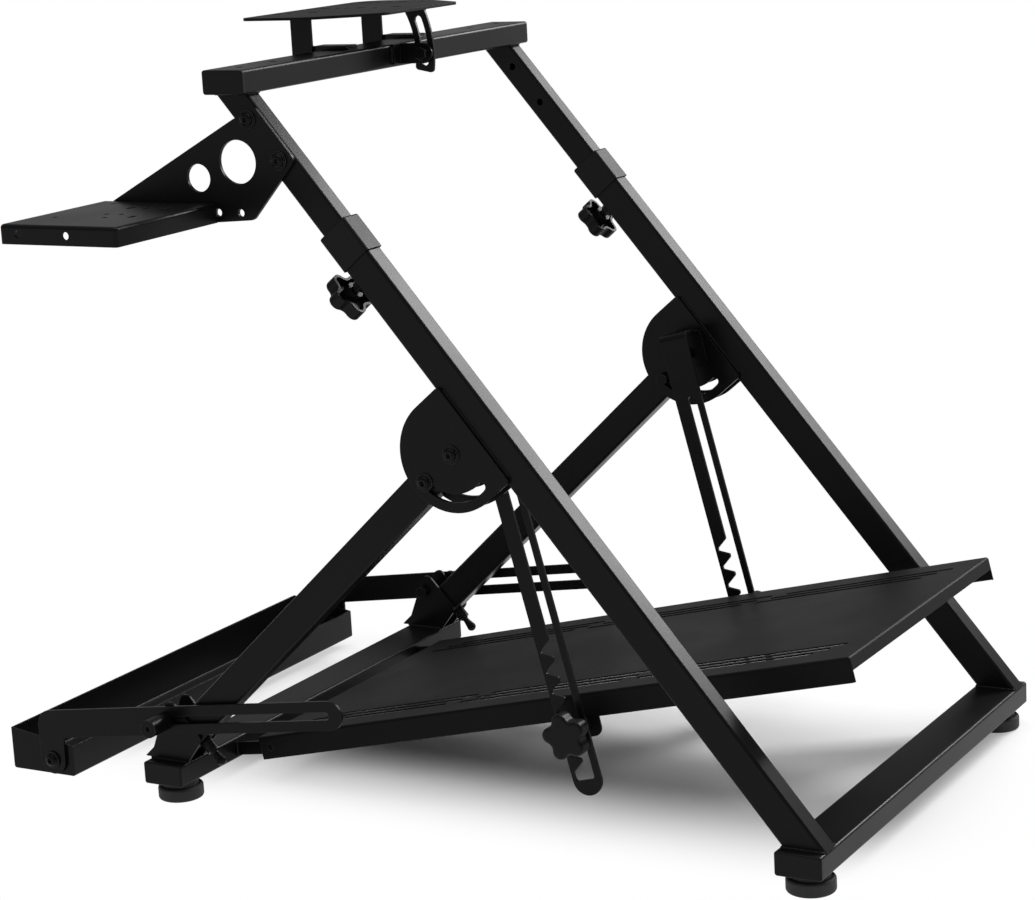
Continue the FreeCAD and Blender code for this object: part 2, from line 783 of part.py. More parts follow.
def base_frame():
    """Front bar on its feet, uprights with collars and knobs, and the pivot plates."""
    cross_bar("front_bar", "front_bar_overhang", front_x, S.foot_height + S.bar_height / 2)
    foot("front_feet", "front_bar_overhang", front_x)
    start = on_line(upright_base, lean, -S.tube_depth, 0)
    stock = tube("upright_stock", "tube_width", "tube_depth", "tube_wall", "tube_corner",
                 "upright_length + tube_depth")
    stock.Placement = spot(start[0], half_pitch, start[1], lean)
    middle = on_line(upright_base, lean, knob_station, 0)
    stud_hole = rod("stud_hole", "stud_diameter + 2*pin_clearance", "tube_depth",
                    spot(middle[0], half_pitch, middle[1], lean + 90))
    node_pair("upright", without("upright", stock, [below("upright_trim", bar_top), stud_hole]))
    collar_at = on_line(upright_base, lean, S.upright_length - S.collar_skirt, 0)
    collar = new_body("collar")
    face = new_sketch(collar, "YZ_Plane", "face")
    rectangle(face, "tube_width + 2*collar_proud", "tube_depth + 2*collar_proud")
    sleeve = pad(collar, face, "collar_length")
    sleeve = round_edges(collar, sleeve, "tube_corner", runs_along(FreeCAD.Vector(1, 0, 0)))
    rim = S.collar_length - 1e-3
    round_edges(collar, sleeve, "collar_round", lambda edge: min(vertex.X for vertex in edge.Vertexes) > rim)
    skirt = new_sketch(collar, "YZ_Plane", "skirt")
    rectangle(skirt, "tube_width + 2*plug_clearance", "tube_depth + 2*plug_clearance")
    pocket(collar, skirt, "collar_skirt", back=True)
    guide = new_sketch(collar, "YZ_Plane", "guide")
    rectangle(guide, f"{INNER_WIDTH} + 2*guide_clearance", f"{INNER_DEPTH} + 2*guide_clearance")
    pocket(collar, guide, "collar_length", back=True)
    collar.Placement = spot(collar_at[0], half_pitch, collar_at[1], lean)
    node_both("collars", [collar])
    seat = on_line(upright_base, lean, knob_station, S.tube_depth / 2)
    seat_spot = spot(seat[0], half_pitch, seat[1], lean + 90)
    thread = rod("nut_thread", "stud_diameter + 2*pin_clearance", "nut_height", seat_spot)
    node_both("knob_nuts", [without("bored_nut", hex_nut("knob_nut", seat_spot), [thread])])
    stud_back = (S.tube_depth - inner_depth) / 2 - S.plug_clearance
    knob = star_knob("height_knob", "stud_diameter", stud_back, S.nut_height + 4, seat_spot)
    node_both("height_knobs", [knob])
    pivot_plates()


def pivot_plates():
    """Two slotted plates a side that carry the fold pivot under an upright."""
    rise = S.pivot_offset - S.tube_depth / 2 + S.plate_lap
    radius = S.plate_radius
    corners = [(-radius, -rise, S.plate_corner), (radius, -rise, S.plate_corner),
               (radius, radius, radius), (-radius, radius, radius)]
    plates = []
    for place, offset in (("outer", plate_offset), ("inner", -plate_offset)):
        blank = plate(f"{place}_blank", corners, [(0, 0, "pivot_diameter + 2*pin_clearance")], [],
                      "plate_thickness", spot(pivot[0], half_pitch + offset, pivot[1], lean))
        cutter = arc_slot(f"{place}_slot", pivot, leg_lean, S.slot_sweep, S.slot_radius, "slot_width")
        plates.append(without(f"{place}_plate", blank, [cutter]))
    node("pivot_plates_left", plates)
    node("pivot_plates_right", [mirrored(f"{item.Name}_mirror", item) for item in plates])
    inner = half_pitch - plate_face - S.ear_clearance - S.hanger_thickness - S.ear_clearance
    bolt = side_bolt("pivot_bolt", "pivot_diameter", pivot, inner, half_pitch + plate_face)
    node_both("pivot_bolts", [bolt])


def leg_frame():
    """Legs on the rear bar, with their brackets, pull pins, lock bolts and deck ears."""
    cross_bar("rear_bar", "rear_bar_overhang", rear_x, S.foot_height + S.bar_height / 2)
    foot("rear_feet", "rear_bar_overhang", rear_x)
    start = on_line(pivot, leg_lean, -S.leg_overrun, 0)
    stock = tube("leg_stock", "tube_width", "tube_depth", "tube_wall", "tube_corner",
                 f"{leg_length} + leg_overrun + tube_depth")
    stock.Placement = spot(start[0], half_pitch, start[1], leg_lean)
    lock = on_line(pivot, leg_lean, S.slot_radius, 0)
    bores = [side_bore("leg_pivot_bore", "pivot_diameter", pivot),
             side_bore("leg_lock_bore", "lock_diameter", lock)]
    node_pair("leg", without("leg", stock, bores + [below("leg_trim", bar_top)]))
    lock_bolt = side_bolt("lock_bolt", "lock_diameter", lock, half_pitch - plate_face, half_pitch + plate_face)
    node_both("lock_bolts", [lock_bolt])
    top = leg_length - S.cheek_rise
    corners = [(rear_x - S.bar_width / 2, bar_top), (rear_x + S.bar_width / 2, bar_top),
               on_line(pivot, leg_lean, top, S.cheek_front) + (S.cheek_round,),
               on_line(pivot, leg_lean, top, -S.cheek_back) + (S.cheek_round,)]
    bolt_hole = (arm_bolt[0], arm_bolt[1], "lock_diameter + 2*pin_clearance")
    cheeks = []
    for place, offset in (("outer", cheek_offset), ("inner", -cheek_offset)):
        cheeks.append(plate(f"cheek_{place}", corners, [bolt_hole], [], "cheek_thickness",
                            spot(0, half_pitch + offset, 0)))
    node_both("leg_brackets", cheeks)
    pull = on_line(pivot, leg_lean, leg_length - S.pull_rise, S.tube_depth / 2)
    pull_spot = spot(pull[0], half_pitch, pull[1], leg_lean + 90)
    ball = doc.addObject("Part::Sphere", "pull_ball")
    ball.setExpression("Radius", cell("pull_ball / 2"))
    ball.Placement = shifted(pull_spot, S.pull_reach)
    boss = rod("pull_boss", "pull_boss", "pull_boss_length", pull_spot)
    stem = rod("pull_rod", "pull_rod", "pull_reach", pull_spot)
    node_both("pull_pins", [joined("pull_pin", [boss, stem, ball])])
    ear_plane = S.deck_width / 2 - S.deck_bend - S.ear_clearance - S.ear_thickness / 2
    reach = S.ear_height / 2
    face = rear_x + S.bar_width / 2
    weld_top = bar_top - 2 * S.bar_corner
    turn = 0.8 * reach
    corners = [(face, weld_top - S.ear_height), (deck_pin[0] + reach, deck_pin[1] - reach, turn),
               (deck_pin[0] + reach, deck_pin[1] + reach, turn), (face, weld_top)]
    ear = plate("deck_ear", corners, [(deck_pin[0], deck_pin[1], "stud_diameter + 2*pin_clearance")], [],
                "ear_thickness", spot(0, ear_plane, 0))
    node_both("deck_ears", [ear])
    inner = ear_plane - S.ear_thickness / 2
    pin_spot = along_y(deck_pin[0], inner, deck_pin[1])
    pin = rod("deck_pin_shank", "stud_diameter", str(S.deck_width / 2 - inner), pin_spot)
    nut = hex_nut("deck_pin_nut", shifted(pin_spot, -S.nut_height))
    node_both("deck_pins", [joined("deck_pin", [pin, nut])])


def head():
    """Inner tubes and top bar, with the shifter's arm and tray and the wheel deck's posts."""
    middle = head_height + S.bar_height / 2
    bar_holes = []
    for side in (1, -1):
        for number in range(2):
            y = half_pitch + S.top_bar_overhang - S.bar_hole_inset - number * S.bar_hole_pitch
            name = f"bar_hole_{'left' if side > 0 else 'right'}{number}"
            bar_holes.append(rod(name, "bar_hole", str(CUTTER), spot(head_x, side * y, middle, 90)))
    cross_bar("top_bar", "top_bar_overhang", head_x, middle, bar_holes)
    low = on_line(upright_base, lean, S.upright_length - S.inner_insert, 0)
    stock = tube("inner_stock", INNER_WIDTH, INNER_DEPTH, "inner_wall", "inner_corner",
                 "inner_insert + inner_reveal + tube_depth")
    stock.Placement = spot(low[0], half_pitch, low[1], lean)
    tools = [above("inner_trim", head_height)]
    for number, drop in enumerate((S.shifter_bolt_high, S.shifter_bolt_low)):
        place = on_line(upright_base, lean, head_station - drop, 0)
        tools.append(side_bore(f"inner_bore{number}", "stud_diameter", place))
    node_pair("inner_tube", without("inner_tube", stock, tools))
    shifter()
    posts = []
    back = head_x - S.bar_width / 2
    half = S.lug_width / 2
    top = head_top + S.post_thickness
    corners = [(back, tilt_pin[1] - half), (back, top), (tilt_pin[0] - half, top, half / 2),
               (tilt_pin[0] - half, tilt_pin[1] - half, half - 2)]
    for place, y in (("near", post_near), ("far", post_far)):
        plane = y + S.lug_thickness / 2 + S.ear_clearance + S.post_thickness / 2
        web = plate(f"post_web_{place}", corners, [hinge_hole], [], "post_thickness", spot(0, plane, 0))
        sole = doc.addObject("Part::Box", f"post_foot_{place}")
        sole.setExpression("Length", cell("post_foot_length"))
        sole.setExpression("Width", cell("post_foot"))
        sole.setExpression("Height", cell("post_thickness"))
        sole.Placement = spot(back - half, plane - S.post_thickness / 2, head_top)
        posts.append(joined(f"post_{place}", [web, sole]))
    node("deck_posts", posts)
    face = head_x + S.bar_width / 2
    half = S.tilt_bracket_height / 2
    plane = S.tilt_plate_plane - S.lug_thickness - S.ear_clearance
    corners = [(face, tilt_bolt[1] - half), (tilt_bolt[0] + half, tilt_bolt[1] - half, half),
               (tilt_bolt[0] + half, tilt_bolt[1] + half, half), (face, tilt_bolt[1] + half)]
    hole = (tilt_bolt[0], tilt_bolt[1], "tilt_pin_diameter + 2*pin_clearance")
    arm = plate("tilt_arm", corners, [hole], [], "lug_thickness", spot(0, plane, 0))
    sole = doc.addObject("Part::Box", "tilt_sole")
    sole.setExpression("Length", cell("lug_thickness"))
    sole.setExpression("Width", cell("tilt_sole_width"))
    sole.setExpression("Height", cell("tilt_bracket_height"))
    sole.Placement = spot(face, plane + S.lug_thickness / 2 - S.tilt_sole_width, tilt_bolt[1] - half)
    node("tilt_bracket", [joined("tilt_bracket", [arm, sole])])
    outer = S.tilt_plate_plane + S.lug_thickness / 2 + S.ear_clearance
    bolt = side_bolt("tilt_bolt", "tilt_pin_diameter", tilt_bolt, plane - S.lug_thickness / 2, outer)
    node("tilt_bolt", [bolt])


def shifter():
    """Plate on the right inner tube's outer face, with a flanged tray fixed out from it."""
    high = on_line(upright_base, lean, head_station - S.shifter_bolt_high, 0)
    low = on_line(upright_base, lean, head_station - S.shifter_bolt_low, 0)
    inner_face = -(half_pitch + inner_width / 2)
    tray_top = head_height - S.tray_drop
    tray_bottom = tray_top - S.tray_flange
    tray_front = low[0] - S.tray_set_back
    tray_rear = tray_front - S.tray_length
    half = inner_depth / 2
    station = head_station - S.shifter_bolt_high
    foot_station = head_station - S.shifter_bolt_low - S.shifter_edge
    corners = [on_line(upright_base, lean, station + S.shifter_edge, half),
               on_line(upright_base, lean, station + S.shifter_edge / 3, -half) + (5,),
               on_line(upright_base, lean, foot_station, -half) + (8,),
               (low[0] - S.shifter_toe, tray_bottom + S.shifter_edge / 4, 8),
               (tray_front, tray_bottom), (tray_rear + S.shifter_edge, tray_bottom),
               (tray_rear + S.shifter_edge, tray_top)]
    hole_x = tray_front
    hole_z = tray_bottom + S.small_hole_rise
    bolt_hole = "stud_diameter + 2*pin_clearance"
    holes = [high + (bolt_hole,), low + (bolt_hole,),
             (low[0] - S.big_hole_back, low[1] - S.big_hole_drop, "big_hole"),
             (low[0] - S.mid_hole_back, low[1] - S.mid_hole_drop, "mid_hole"),
             (hole_x, hole_z, "small_hole"), (hole_x + S.small_hole_pitch, hole_z, "small_hole")]
    seat = inner_face - S.shifter_plate
    arm = plate("shifter_arm", corners, holes, [], "shifter_plate", spot(0, seat + S.shifter_plate / 2, 0))
    node("shifter_arm", [arm])
    place = spot(tray_front - S.tray_length / 2, seat - S.tray_width / 2, tray_top)
    shell = pan("tray_shell", "tray_length", "tray_width", "tray_flange", "tray_sheet", "tray_bend", place)
    cuts = new_body("tray_cuts")
    drawing = new_sketch(cuts, "XY_Plane", "holes")
    for along, across in TRAY_HOLES:
        circle(drawing, along * S.tray_length, across * S.tray_width, "tray_slot_width")
    for along, across in TRAY_SLOTS:
        x = along * S.tray_length
        y = across * S.tray_width
        reach = (S.tray_slot_length - S.tray_slot_width) / 2
        slot(drawing, (x, y - reach), (x, y + reach), "tray_slot_width")
    pad(cuts, drawing, "tray_flange", middle=True)
    cuts.Placement = place
    tools = [cuts]
    for number, along in enumerate(FLANGE_HOLES):
        x = tray_front + (along - 0.5) * S.tray_length
        z = tray_top - S.tray_flange / 2
        tools.append(rod(f"flange_hole{number}", "small_hole", "tray_flange",
                         along_y(x, seat - S.tray_width - S.tray_flange / 2, z)))
    node("shifter_tray", [without("shifter_tray", shell, tools)])
    bolts = []
    for name, centre in (("high", high), ("low", low)):
        bolt = side_bolt(f"shifter_bolt_{name}", "stud_diameter", centre, half_pitch - inner_width / 2, -seat)
        bolts.append(mirrored(f"shifter_bolt_{name}_mirror", bolt))
    node("shifter_bolts", bolts)


def sector(drawing, inner, outer, start, end):
    """Draw a stretch of a ring about the origin between two elevations, in degrees."""
    first = math.radians(start)
    last = math.radians(end)
    centre = point(0, 0)
    corners = [point(radius * math.cos(turn), radius * math.sin(turn))
               for radius, turn in ((outer, first), (outer, last), (inner, last), (inner, first))]
    shapes = [arc(centre, outer, first, last), Part.LineSegment(corners[1], corners[2]),
              arc(centre, inner, first, last), Part.LineSegment(corners[3], corners[0])]
    ends = [(1, 2, outer), (1, 2, 0.0), (2, 1, inner), (1, 2, 0.0)]
    close(drawing, [(drawing.addGeometry(shape), corner) + end
                    for shape, corner, end in zip(shapes, corners, ends)])


def wheel_deck():
    """Tapered plate for the wheel, with hinge lugs and a curved tilt plate under it."""
    body = new_body("wheel_deck")
    drawing = new_sketch(body, "XY_Plane", "outline")
    side = S.wheel_deck_width / 2
    nose = S.wheel_deck_nose / 2
    outline(drawing, [(-S.wheel_deck_rear, -side, 10), (-S.wheel_deck_shoulder, -side, 25),
                      (S.wheel_deck_front, -nose, 20), (S.wheel_deck_front, nose, 12),
                      (-S.wheel_deck_shoulder, side, 25), (-S.wheel_deck_rear, side, 30)])
    for along, across in WHEEL_HOLES:
        circle(drawing, along * S.wheel_deck_rear, across * S.wheel_deck_width, "wheel_slot_width")
    reach = (S.wheel_slot_length - S.wheel_slot_width) / 2
    for along, across in WHEEL_SLOTS:
        x = along * S.wheel_deck_rear
        y = across * S.wheel_deck_width
        slot(drawing, (x - reach, y), (x + reach, y), "wheel_slot_width")
    pad(body, drawing, "wheel_deck_sheet")
    body.Placement = spot(head_x, 0, underside)
    node("wheel_deck", [body])
    lugs = []
    pins = []
    half = S.lug_width / 2
    low = tilt_pin[1] - half
    corners = [(tilt_pin[0] - half, underside), (tilt_pin[0] - half, low, half - 2),
               (tilt_pin[0] + half, low, half - 2), (tilt_pin[0] + half, underside)]
    for place, y in (("near", post_near), ("far", post_far)):
        inner = y - S.lug_thickness / 2
        outer = y + S.lug_thickness / 2 + S.ear_clearance + S.post_thickness
        lugs.append(plate(f"lug_{place}", corners, [hinge_hole], [], "lug_thickness", spot(0, y, 0)))
        pins.append(side_bolt(f"hinge_bolt_{place}", "tilt_pin_diameter", tilt_pin, inner, outer, nut=False))
    node("deck_lugs", lugs)
    node("hinge_bolts", pins)
    reach = math.hypot(tilt_bolt[0] - tilt_pin[0], tilt_bolt[1] - tilt_pin[1])
    aim = math.degrees(math.atan2(tilt_bolt[1] - tilt_pin[1], tilt_bolt[0] - tilt_pin[0]))
    start = aim - S.tilt_plate_tail
    half = S.tilt_plate_width / 2
    blank = new_body("tilt_blank")
    drawing = new_sketch(blank, "XZ_Plane", "outline")
    sector(drawing, reach - half, reach + half, start, start + 90)
    band = pad(blank, drawing, "lug_thickness", middle=True)
    across = runs_along(Y_AXIS)

    def at_foot(edge):
        """Pick the two corners at the plate's lower end."""
        corner = edge.Vertexes[0]
        return across(edge) and math.degrees(math.atan2(corner.Z, corner.X)) < start + 1

    round_edges(blank, band, "tilt_plate_round", at_foot)
    blank.Placement = spot(tilt_pin[0], S.tilt_plate_plane, tilt_pin[1])
    sweep = S.tilt_slot_up + S.tilt_slot_down
    slit = arc_slot("tilt_slot", tilt_pin, aim - S.tilt_slot_down, sweep, reach, "tilt_slot_width")
    node("tilt_plate", [without("tilt_plate", blank, [slit, above("tilt_trim", underside)])])


def pedal_deck():
    """Flanged sheet for the pedals, slotted along both sides, with ears for its pins."""
    seat = spot(deck_rear[0], 0, deck_rear[1], S.deck_angle)
    shell = pan("deck_pan", "deck_length", "deck_width", "deck_flange", "deck_sheet", "deck_bend",
                shifted(seat, S.deck_length / 2))
    notches = []
    for place, x, depth in (("front", S.deck_length - S.deck_bend, "deck_flange - deck_lip"),
                            ("rear", -S.deck_bend, "deck_flange - deck_sheet")):
        notch = doc.addObject("Part::Box", f"deck_notch_{place}")
        notch.setExpression("Length", cell("2*deck_bend"))
        notch.setExpression("Width", cell("deck_width - 2*deck_bend"))
        notch.setExpression("Height", cell(depth))
        notch.Placement = shifted(seat, x, S.deck_bend - S.deck_width / 2, -S.deck_flange)
        notches.append(notch)
    half = S.tab_width / 2
    low = -S.pedal_pin_drop - S.tab_margin
    corners = [(S.pedal_pin_inset - half, -S.deck_flange), (S.pedal_pin_inset - half, low, S.tab_round),
               (S.pedal_pin_inset + half, low, S.tab_round), (S.pedal_pin_inset + half, -S.deck_flange)]
    pieces = [without("deck_shell", shell, notches)]
    for place, side in (("left", 1), ("right", -1)):
        pieces.append(plate(f"deck_tab_{place}", corners, [], [], "deck_sheet",
                            shifted(seat, 0, side * (S.deck_width - S.deck_sheet) / 2)))
    slots = new_body("deck_slots")
    drawing = new_sketch(slots, "XY_Plane", "slots")
    first = (S.deck_length - 2 * S.deck_slot_pitch) / 2
    half = (S.deck_slot_length - S.deck_slot_width) / 2
    for side in (1, -1):
        for row in range(3):
            y = side * (S.deck_width / 2 - S.deck_slot_edge - row * S.deck_slot_row)
            for column in range(3):
                x = first + column * S.deck_slot_pitch + side * (1 - row) * S.deck_slot_stagger
                slot(drawing, (x - half, y), (x + half, y), "deck_slot_width")
    pad(slots, drawing, "deck_flange", middle=True)
    slots.Placement = seat
    tools = [slots]
    for name, centre, size in (("deck_pin_hole", deck_pin, "stud_diameter"),
                               ("pedal_pin_hole", pedal_pin, "pedal_pin_diameter")):
        tools.append(rod(name, f"{size} + 2*pin_clearance", str(CUTTER),
                         along_y(centre[0], -CUTTER / 2, centre[1])))
    node("pedal_deck", [without("pedal_deck", joined("deck_whole", pieces), tools)])
    edge = S.deck_width / 2
    inside = edge - S.deck_sheet - 6
    knob_at = hanger_plane + S.hanger_thickness / 2 + S.ear_clearance
    spacer_end = hanger_plane - S.hanger_thickness / 2 - S.ear_clearance
    place = along_y(pedal_pin[0], knob_at, pedal_pin[1])
    pieces = [rod("pedal_stud", "pedal_pin_diameter", str(knob_at - inside), shifted(place, inside - knob_at)),
              rod("pedal_spacer", "nut_diameter", str(spacer_end - edge), shifted(place, edge - knob_at)),
              star_knob("pedal_star", "pedal_pin_diameter", 0, 0, place)]
    node_both("pedal_knobs", [joined("pedal_knob", pieces)])


def hangers():
    """Toothed straps that hold the pedal deck, bent over at the top onto the pivot bolts."""
    place = spot(hanger_top[0], hanger_plane, hanger_top[1], hanger_lean)
    half = S.hanger_width / 2
    top = -S.hanger_ear_drop / 2
    body = new_body("hanger_strap")
    drawing = new_sketch(body, "XZ_Plane", "outline")
    outline(drawing, [(top, -half), (S.hanger_length, -half, half), (S.hanger_length, half, half), (top, half)])
    root = -half + S.hanger_rear_rail
    tip = root + S.tooth_depth
    front = half - S.hanger_front_rail
    low = S.hanger_length - half
    first = pin_reach + S.pedal_pin_diameter / 2 + S.tooth_gap - S.tooth_seat * S.tooth_pitch
    count = int((low - first - S.tooth_land) // S.tooth_pitch) + 1
    corners = [(S.slot_start, front, 4), (S.slot_start, tip, 4)]
    for number in range(-1, count):
        seat = first + number * S.tooth_pitch
        if number >= 0:
            corners += [(seat, root, 1.5), (seat + S.tooth_slope, tip, 1)]
        shoulder = seat + S.tooth_slope + S.tooth_top
        corners += [(shoulder, tip, 3), (shoulder + S.tooth_fall, root, 2)]
    corners += [(low, root, 3), (low, front, 4)]
    outline(drawing, corners)
    pad(body, drawing, "hanger_thickness", middle=True)
    body.Placement = place
    ear_plane = half_pitch - plate_face - S.ear_clearance - S.hanger_thickness / 2
    turn = S.hanger_ear_drop / 2
    ear = plate("hanger_ear", [(top, -half), (S.hanger_ear_drop, -half, turn),
                               (S.hanger_ear_drop, half, turn), (top, half)],
                [(0, -S.hanger_offset, "pivot_diameter + 2*pin_clearance")], [], "hanger_thickness",
                spot(hanger_top[0], ear_plane, hanger_top[1], hanger_lean))
    over = new_body("hanger_bend")
    profile = new_sketch(over, "XY_Plane", "profile")
    wall = S.hanger_thickness / 2
    reach = ear_plane - hanger_plane
    crest = -S.hanger_rise - S.hanger_thickness
    wide = S.hanger_bend + S.hanger_thickness
    outline(profile, [(top, -wall), (crest, -wall, wide), (crest, reach + wall, wide), (top, reach + wall),
                      (top, reach - wall), (-S.hanger_rise, reach - wall, S.hanger_bend),
                      (-S.hanger_rise, wall, S.hanger_bend), (top, wall)])
    pad(over, profile, "hanger_width", middle=True)
    over.Placement = place
    node_pair("hanger", joined("hanger", [body, ear, over]))


def chair_stop():
    """Slotted arms on the leg brackets' bolts, and the flanged channel between their rear ends."""
    plane = half_pitch + arm_offset
    seat = plane + S.arm_thickness / 2 + S.ear_clearance
    inner = half_pitch - cheek_offset - S.cheek_thickness / 2 - S.ear_clearance
    bolt = side_bolt("arm_bolt", "lock_diameter", arm_bolt, inner, seat)
    clamp_spot = along_y(arm_bolt[0], seat, arm_bolt[1])
    clamp = rod("arm_clamp", "clamp_nut", "clamp_nut_length", clamp_spot)
    whole = joined("arm_bolt_whole", [bolt, clamp])
    node_both("arm_bolts", [socket("arm_bolt_clamp", whole, shifted(clamp_spot, S.clamp_nut_length))])
    half = S.arm_width / 2
    slot_end = S.arm_front - S.arm_slot_width / 2
    strip = plate("arm_strip", [(-S.arm_rear - half, -half), (S.arm_front + half, -half, half),
                                (S.arm_front + half, half, half), (-S.arm_rear - half, half, half)],
                  [], [((0, 0), (slot_end, 0), "arm_slot_width")], "arm_thickness",
                  spot(arm_bolt[0], plane, arm_bolt[1], S.arm_angle))
    half = S.arm_lug_width / 2
    rise = on_line(arm_bolt, S.arm_angle, -S.arm_rear, 0)[1]
    low = stop_bolt[1] - half
    corners = [(stop_bolt[0] - half, low, half), (stop_bolt[0] + half, low, half),
               (stop_bolt[0] + half, rise), (stop_bolt[0] - half, rise)]
    lug = plate("arm_lug", corners, [(stop_bolt[0], stop_bolt[1], "lock_diameter + 2*pin_clearance")], [],
                "arm_thickness", spot(0, plane, 0))
    node_pair("stop_arm", joined("stop_arm", [strip, lug]))
    reach = plane - S.arm_thickness / 2 - S.ear_clearance
    body = new_body("stop_body")
    profile = new_sketch(body, "XZ_Plane", "profile")
    outline(profile, [(0, 0, 3), (S.stop_width, 0, 3), (S.stop_width, S.stop_front_wall),
                      (0, S.stop_rear_wall)])
    pad(body, profile, str(2 * reach), middle=True)
    inside = new_sketch(body, "XZ_Plane", "inside")
    wall = S.stop_sheet
    top = 2 * S.stop_rear_wall
    outline(inside, [(wall, wall, 2), (S.stop_width - wall, wall, 2), (S.stop_width - wall, top), (wall, top)])
    cavity = body.newObject("PartDesign::Pocket", "stop_cavity")
    cavity.Profile = inside
    cavity.Length = 2 * reach - 2 * wall
    cavity.Midplane = True
    doc.recompute()
    body.Placement = spot(stop_bolt[0] + S.stop_bolt_front - S.stop_width, 0, S.stop_floor)
    bore = rod("stop_bore", "lock_diameter + 2*pin_clearance", str(2 * CUTTER),
               along_y(stop_bolt[0], -CUTTER, stop_bolt[1]))
    node("stop_channel", [without("stop_channel", body, [bore])])
    bolt = side_bolt("stop_bolt", "lock_diameter", stop_bolt, reach - wall, seat)
    node_both("stop_bolts", [bolt])


def export():
    """Check every piece, then write one file for each sub-part."""
    doc.recompute()
    for item in doc.Objects:
        if "Invalid" in item.State or "Error" in item.State:
            raise RuntimeError(f"{item.Name} failed: {item.State}")
    for name, item in nodes.items():
        if item.Shape.isNull() or not item.Shape.isValid():
            raise RuntimeError(f"{name} has no valid shape")
    os.makedirs("parts", exist_ok=True)
    for name, item in nodes.items():
        item.Shape.exportStep(f"parts/{name}.step")
        print(name, len(item.Shape.Solids), "solids", round(item.Shape.Volume / 1000, 1), "cm3")


base_frame()
leg_frame()
head()
wheel_deck()
pedal_deck()
hangers()
chair_stop()
export()
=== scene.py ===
"""Dresses the wheel stand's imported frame: finishes, welds, threads, sleeves, studio and camera."""
import json
import logging
import math
from dataclasses import dataclass, field
from enum import Enum
from typing import Any, Iterable, Sequence

import bpy
from mathutils import Matrix, Quaternion, Vector

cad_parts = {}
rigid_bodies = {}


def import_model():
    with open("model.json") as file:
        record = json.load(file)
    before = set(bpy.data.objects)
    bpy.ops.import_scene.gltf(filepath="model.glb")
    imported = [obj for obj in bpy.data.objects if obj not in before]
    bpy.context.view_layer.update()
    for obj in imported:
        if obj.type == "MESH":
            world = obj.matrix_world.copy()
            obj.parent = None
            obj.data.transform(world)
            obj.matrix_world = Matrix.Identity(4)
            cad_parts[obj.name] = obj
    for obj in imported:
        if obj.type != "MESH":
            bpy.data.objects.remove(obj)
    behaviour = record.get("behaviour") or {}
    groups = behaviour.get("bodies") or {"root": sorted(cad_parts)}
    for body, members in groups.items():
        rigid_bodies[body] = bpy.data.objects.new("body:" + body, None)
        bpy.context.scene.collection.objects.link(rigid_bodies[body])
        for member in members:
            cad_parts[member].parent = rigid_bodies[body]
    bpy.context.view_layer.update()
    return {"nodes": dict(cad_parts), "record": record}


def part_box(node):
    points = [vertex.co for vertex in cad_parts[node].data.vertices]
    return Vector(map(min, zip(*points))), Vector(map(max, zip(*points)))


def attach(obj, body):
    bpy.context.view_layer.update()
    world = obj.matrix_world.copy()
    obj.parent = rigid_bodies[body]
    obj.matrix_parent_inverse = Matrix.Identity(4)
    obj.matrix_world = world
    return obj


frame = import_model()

log = logging.getLogger("wheel_stand")
MM = 0.001
HALF_PITCH = 269.5 * MM
UPRIGHT_LEAN = math.radians(50.1)
BAR_TOP = 47 * MM
TUBE_WIDTH = 25 * MM
WHITE = (1.0, 1.0, 1.0, 1.0)
# These sockets go by number, because a node's sockets for other kinds of value share their names.
MIX_COLOURS = (6, 7)
MIX_RESULT = 2
RANDOM_LEAST, RANDOM_MOST = 2, 3
RANDOM_RESULT = 1
Point = tuple[float, float, float]
Path3 = list[Point]


class Body(Enum):
    """The moving bodies that pieces ride on."""

    BASE = "base_frame"
    LEGS = "leg_frame"
    HEAD = "head"
    WHEEL_DECK = "wheel_deck_body"
    PEDAL_DECK = "pedal_deck_body"
    HANGERS = "hangers"
    ARM_PIVOTS = "arm_pivots"
    STOP_ARMS = "stop_arms"
    CHAIR_STOP = "chair_stop"


class Slot(Enum):
    """The record's material slots."""

    STEEL = "coated_steel"
    PLASTIC = "black_plastic"
    RUBBER = "foot_rubber"
    HARDWARE = "black_hardware"


class NodeSheet:
    """A node tree with short ways to add nodes and join them."""

    def __init__(self, tree: bpy.types.NodeTree) -> None:
        """Start on an empty tree."""
        self.tree = tree
        tree.nodes.clear()

    def add(self, kind: str, inputs: dict[Any, Any] | None = None,
            **settings: Any) -> bpy.types.Node:
        """Add a node.

        Args:
            kind: The node's type name.
            inputs: Values or sockets for its inputs, by name or number.
            settings: Properties set on the node before its inputs.

        Returns:
            The new node.
        """
        node = self.tree.nodes.new(kind)
        for name, value in settings.items():
            setattr(node, name, value)
        for name, value in (inputs or {}).items():
            if isinstance(value, bpy.types.NodeSocket):
                self.tree.links.new(value, node.inputs[name])
            else:
                node.inputs[name].default_value = value
        return node


